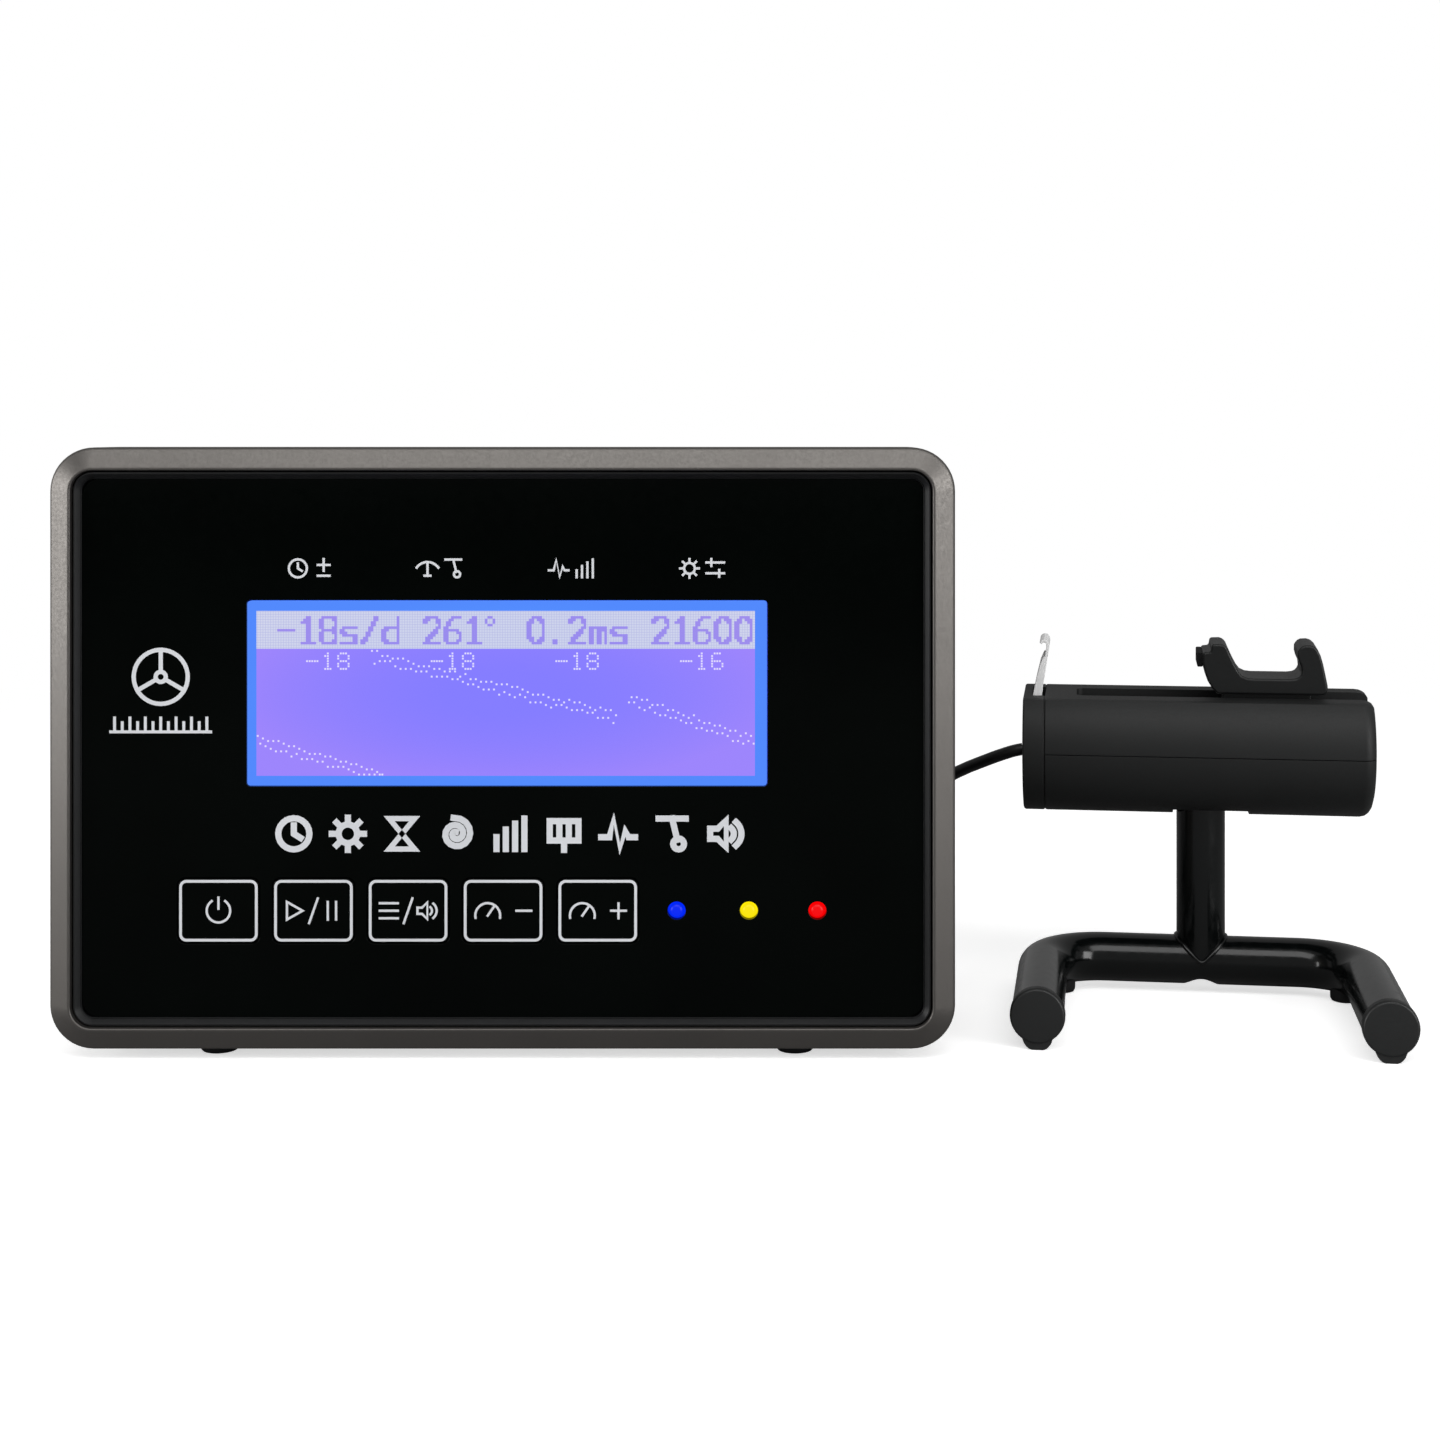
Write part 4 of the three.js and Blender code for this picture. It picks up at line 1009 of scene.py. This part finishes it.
# ---------------------------------------------------------------- clamp
# The clamp's outline: along the head, and up from the head's flat top.
CLAMP_LINE = [
    (4.4, 1.25), (2.9, 2.8), (1.6, 5.0), (0.75, 7.4), (0.3, 9.8), (0.15, 11.8), (0.25, 13.2),
    (2.4, 13.4), (2.55, 14.2), (2.75, 15.6), (5.4, 15.7), (6.5, 15.4), (7.3, 14.4), (8.1, 12.5),
    (9.2, 10.1), (10.3, 8.0), (11.3, 6.7), (12.8, 6.0), (14.6, 5.8), (24.8, 5.8), (26.7, 6.0),
    (27.8, 6.8), (28.2, 7.9), (28.05, 9.5), (27.4, 11), (27.05, 12.4), (27.1, 13.9), (27.7, 15.0),
    (28.8, 15.6), (30.4, 15.7), (31.7, 15.4), (32.7, 14.4), (33.5, 12.7), (34.2, 10.3),
    (34.8, 7.5), (35.5, 4.1), (35.6, 2.6), (34.9, 1.5), (34.0, 1.25),
]
make(
    "clamp_body", slab([(x, FLAT + up) for x, up in CLAMP_LINE], -7.25, 7.25), ON_HEAD, "clamp",
    GRIP, "grip_plastic", ["slide_clamp"], sharp=30, bevel=0.9, segments=4,
)
make(
    "clamp_neck", block(6, 31, -5.3, 5.3, FLAT - 2.6, FLAT + 2), ON_HEAD, "clamp",
    GRIP, "grip_plastic", sharp=30, bevel=0.3, segments=2,
)
# Two black blocks at the clamp's upper left stand for the dark inside two notches there: painted shade.
notch_shade = joined(
    block(3.1, 4.6, -6.9, -4.4, FLAT + 14.6, FLAT + 15.72),
    block(0.8, 2.2, -6.9, -4.4, FLAT + 12.2, FLAT + 13.42),
)
make(
    "clamp_notch_shade", notch_shade, ON_HEAD, "clamp", TRIM, "trim_black",
    sharp=30, bevel=0.1, segments=2,
)
pad_z = FLAT + 8.8
cushion = joined(
    slab(round_rect(1.6, 4.2, 0.4, -0.5, pad_z + 2.1, 4), -5.4, 5.4),
    block(-0.6, 0.3, -3, 3, pad_z + 1, pad_z + 3.2),
)
make(
    "jaw_cushion", cushion, ON_HEAD, "clamp", RUBBER, "foot_rubber", ["jaw_pad"],
    sharp=40, bevel=0.1, segments=2,
)

# ---------------------------------------------------------------- CAD pieces that stay, and their materials
KEPT = {
    BOARD: ["display_board", "key_board", "main_board", "preamp_board"],
    TRIM: ["buzzer", "slide_runner"],
    GLASS: ["display_glass"],
    SCREW: [f"case_screw_{i}" for i in range(1, 5)] + ["shell_screw_1", "shell_screw_2"],
    HUB: ["tilt_hub", "hub_nut"],
    BRASS: ["piezo_disc"],
}
for material, names in KEPT.items():
    for name in names:
        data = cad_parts[name].data
        data.materials.clear()
        data.materials.append(material)

# ---------------------------------------------------------------- floor and light
def seen_or_not(tree, seen, unseen, join):
    """One thing where the eye meets it and another where only bounced light does."""
    path = tree.nodes.new("ShaderNodeLightPath")
    mix = tree.nodes.new("ShaderNodeMixShader")
    tree.links.new(path.outputs["Is Camera Ray"], mix.inputs[0])
    tree.links.new(unseen, mix.inputs[1])
    tree.links.new(seen, mix.inputs[2])
    tree.links.new(mix.outputs[0], join)


floor_look = Nodes("floor_pale", rgb(244, 244, 244), 0.8)
tree = floor_look.tree
floor_look.shader.inputs["Emission Color"].default_value = (1, 1, 1, 1)
floor_look.shader.inputs["Emission Strength"].default_value = 0.62
far = tree.nodes.new("ShaderNodeEmission")
spread = tree.nodes.new("ShaderNodeVectorMath")
spread.operation = "LENGTH"
edge = tree.nodes.new("ShaderNodeMapRange")
edge.inputs["From Min"].default_value = 0.3
edge.inputs["From Max"].default_value = 0.9
fade = tree.nodes.new("ShaderNodeMixShader")
tree.links.new(floor_look.coords.outputs["Object"], spread.inputs[0])
tree.links.new(spread.outputs["Value"], edge.inputs["Value"])
tree.links.new(edge.outputs["Result"], fade.inputs[0])
tree.links.new(floor_look.shader.outputs[0], fade.inputs[1])
tree.links.new(far.outputs[0], fade.inputs[2])
dim = tree.nodes.new("ShaderNodeBsdfDiffuse")
dim.inputs["Color"].default_value = (0.3, 0.3, 0.3, 1)
seen_or_not(tree, fade.outputs[0], dim.outputs[0], tree.nodes["Material Output"].inputs["Surface"])
floor_mesh = bpy.data.meshes.new("floor")
floor_mesh.from_pydata([(-6, -6, 0), (6, -6, 0), (6, 6, 0), (-6, 6, 0)], [], [(0, 1, 2, 3)])
floor_mesh.materials.append(floor_look.material)
floor = bpy.data.objects.new("floor", floor_mesh)
scene.collection.objects.link(floor)

world = bpy.data.worlds.new("studio")
scene.world = world
world.use_nodes = True
tree = world.node_tree
pale = tree.nodes["Background"]
pale.inputs["Color"].default_value = (1, 1, 1, 1)
pale.inputs["Strength"].default_value = 1
fill = tree.nodes.new("ShaderNodeBackground")
fill.inputs["Color"].default_value = (1, 1, 1, 1)
fill.inputs["Strength"].default_value = 0.28
seen_or_not(tree, pale.outputs[0], fill.outputs[0], tree.nodes["World Output"].inputs["Surface"])


def area(name, place, target, width, height, power):
    light = bpy.data.lights.new(name, "AREA")
    light.shape = "RECTANGLE"
    light.size, light.size_y, light.energy = width, height, power
    obj = bpy.data.objects.new(name, light)
    scene.collection.objects.link(obj)
    obj.location = place
    obj.rotation_euler = (Vector(target) - Vector(place)).to_track_quat("-Z", "Y").to_euler()


area("above", (0.05, -0.8, 1.05), (0.02, 0, 0.08), 1.5, 0.6, 7.5)
area("left", (-0.98, -0.42, 0.14), (-0.12, 0, 0.06), 0.6, 0.6, 6.4)
area("right", (0.9, -0.7, 0.32), (0.05, 0, 0.08), 0.5, 0.6, 5.6)
scene.view_settings.view_transform = "Standard"
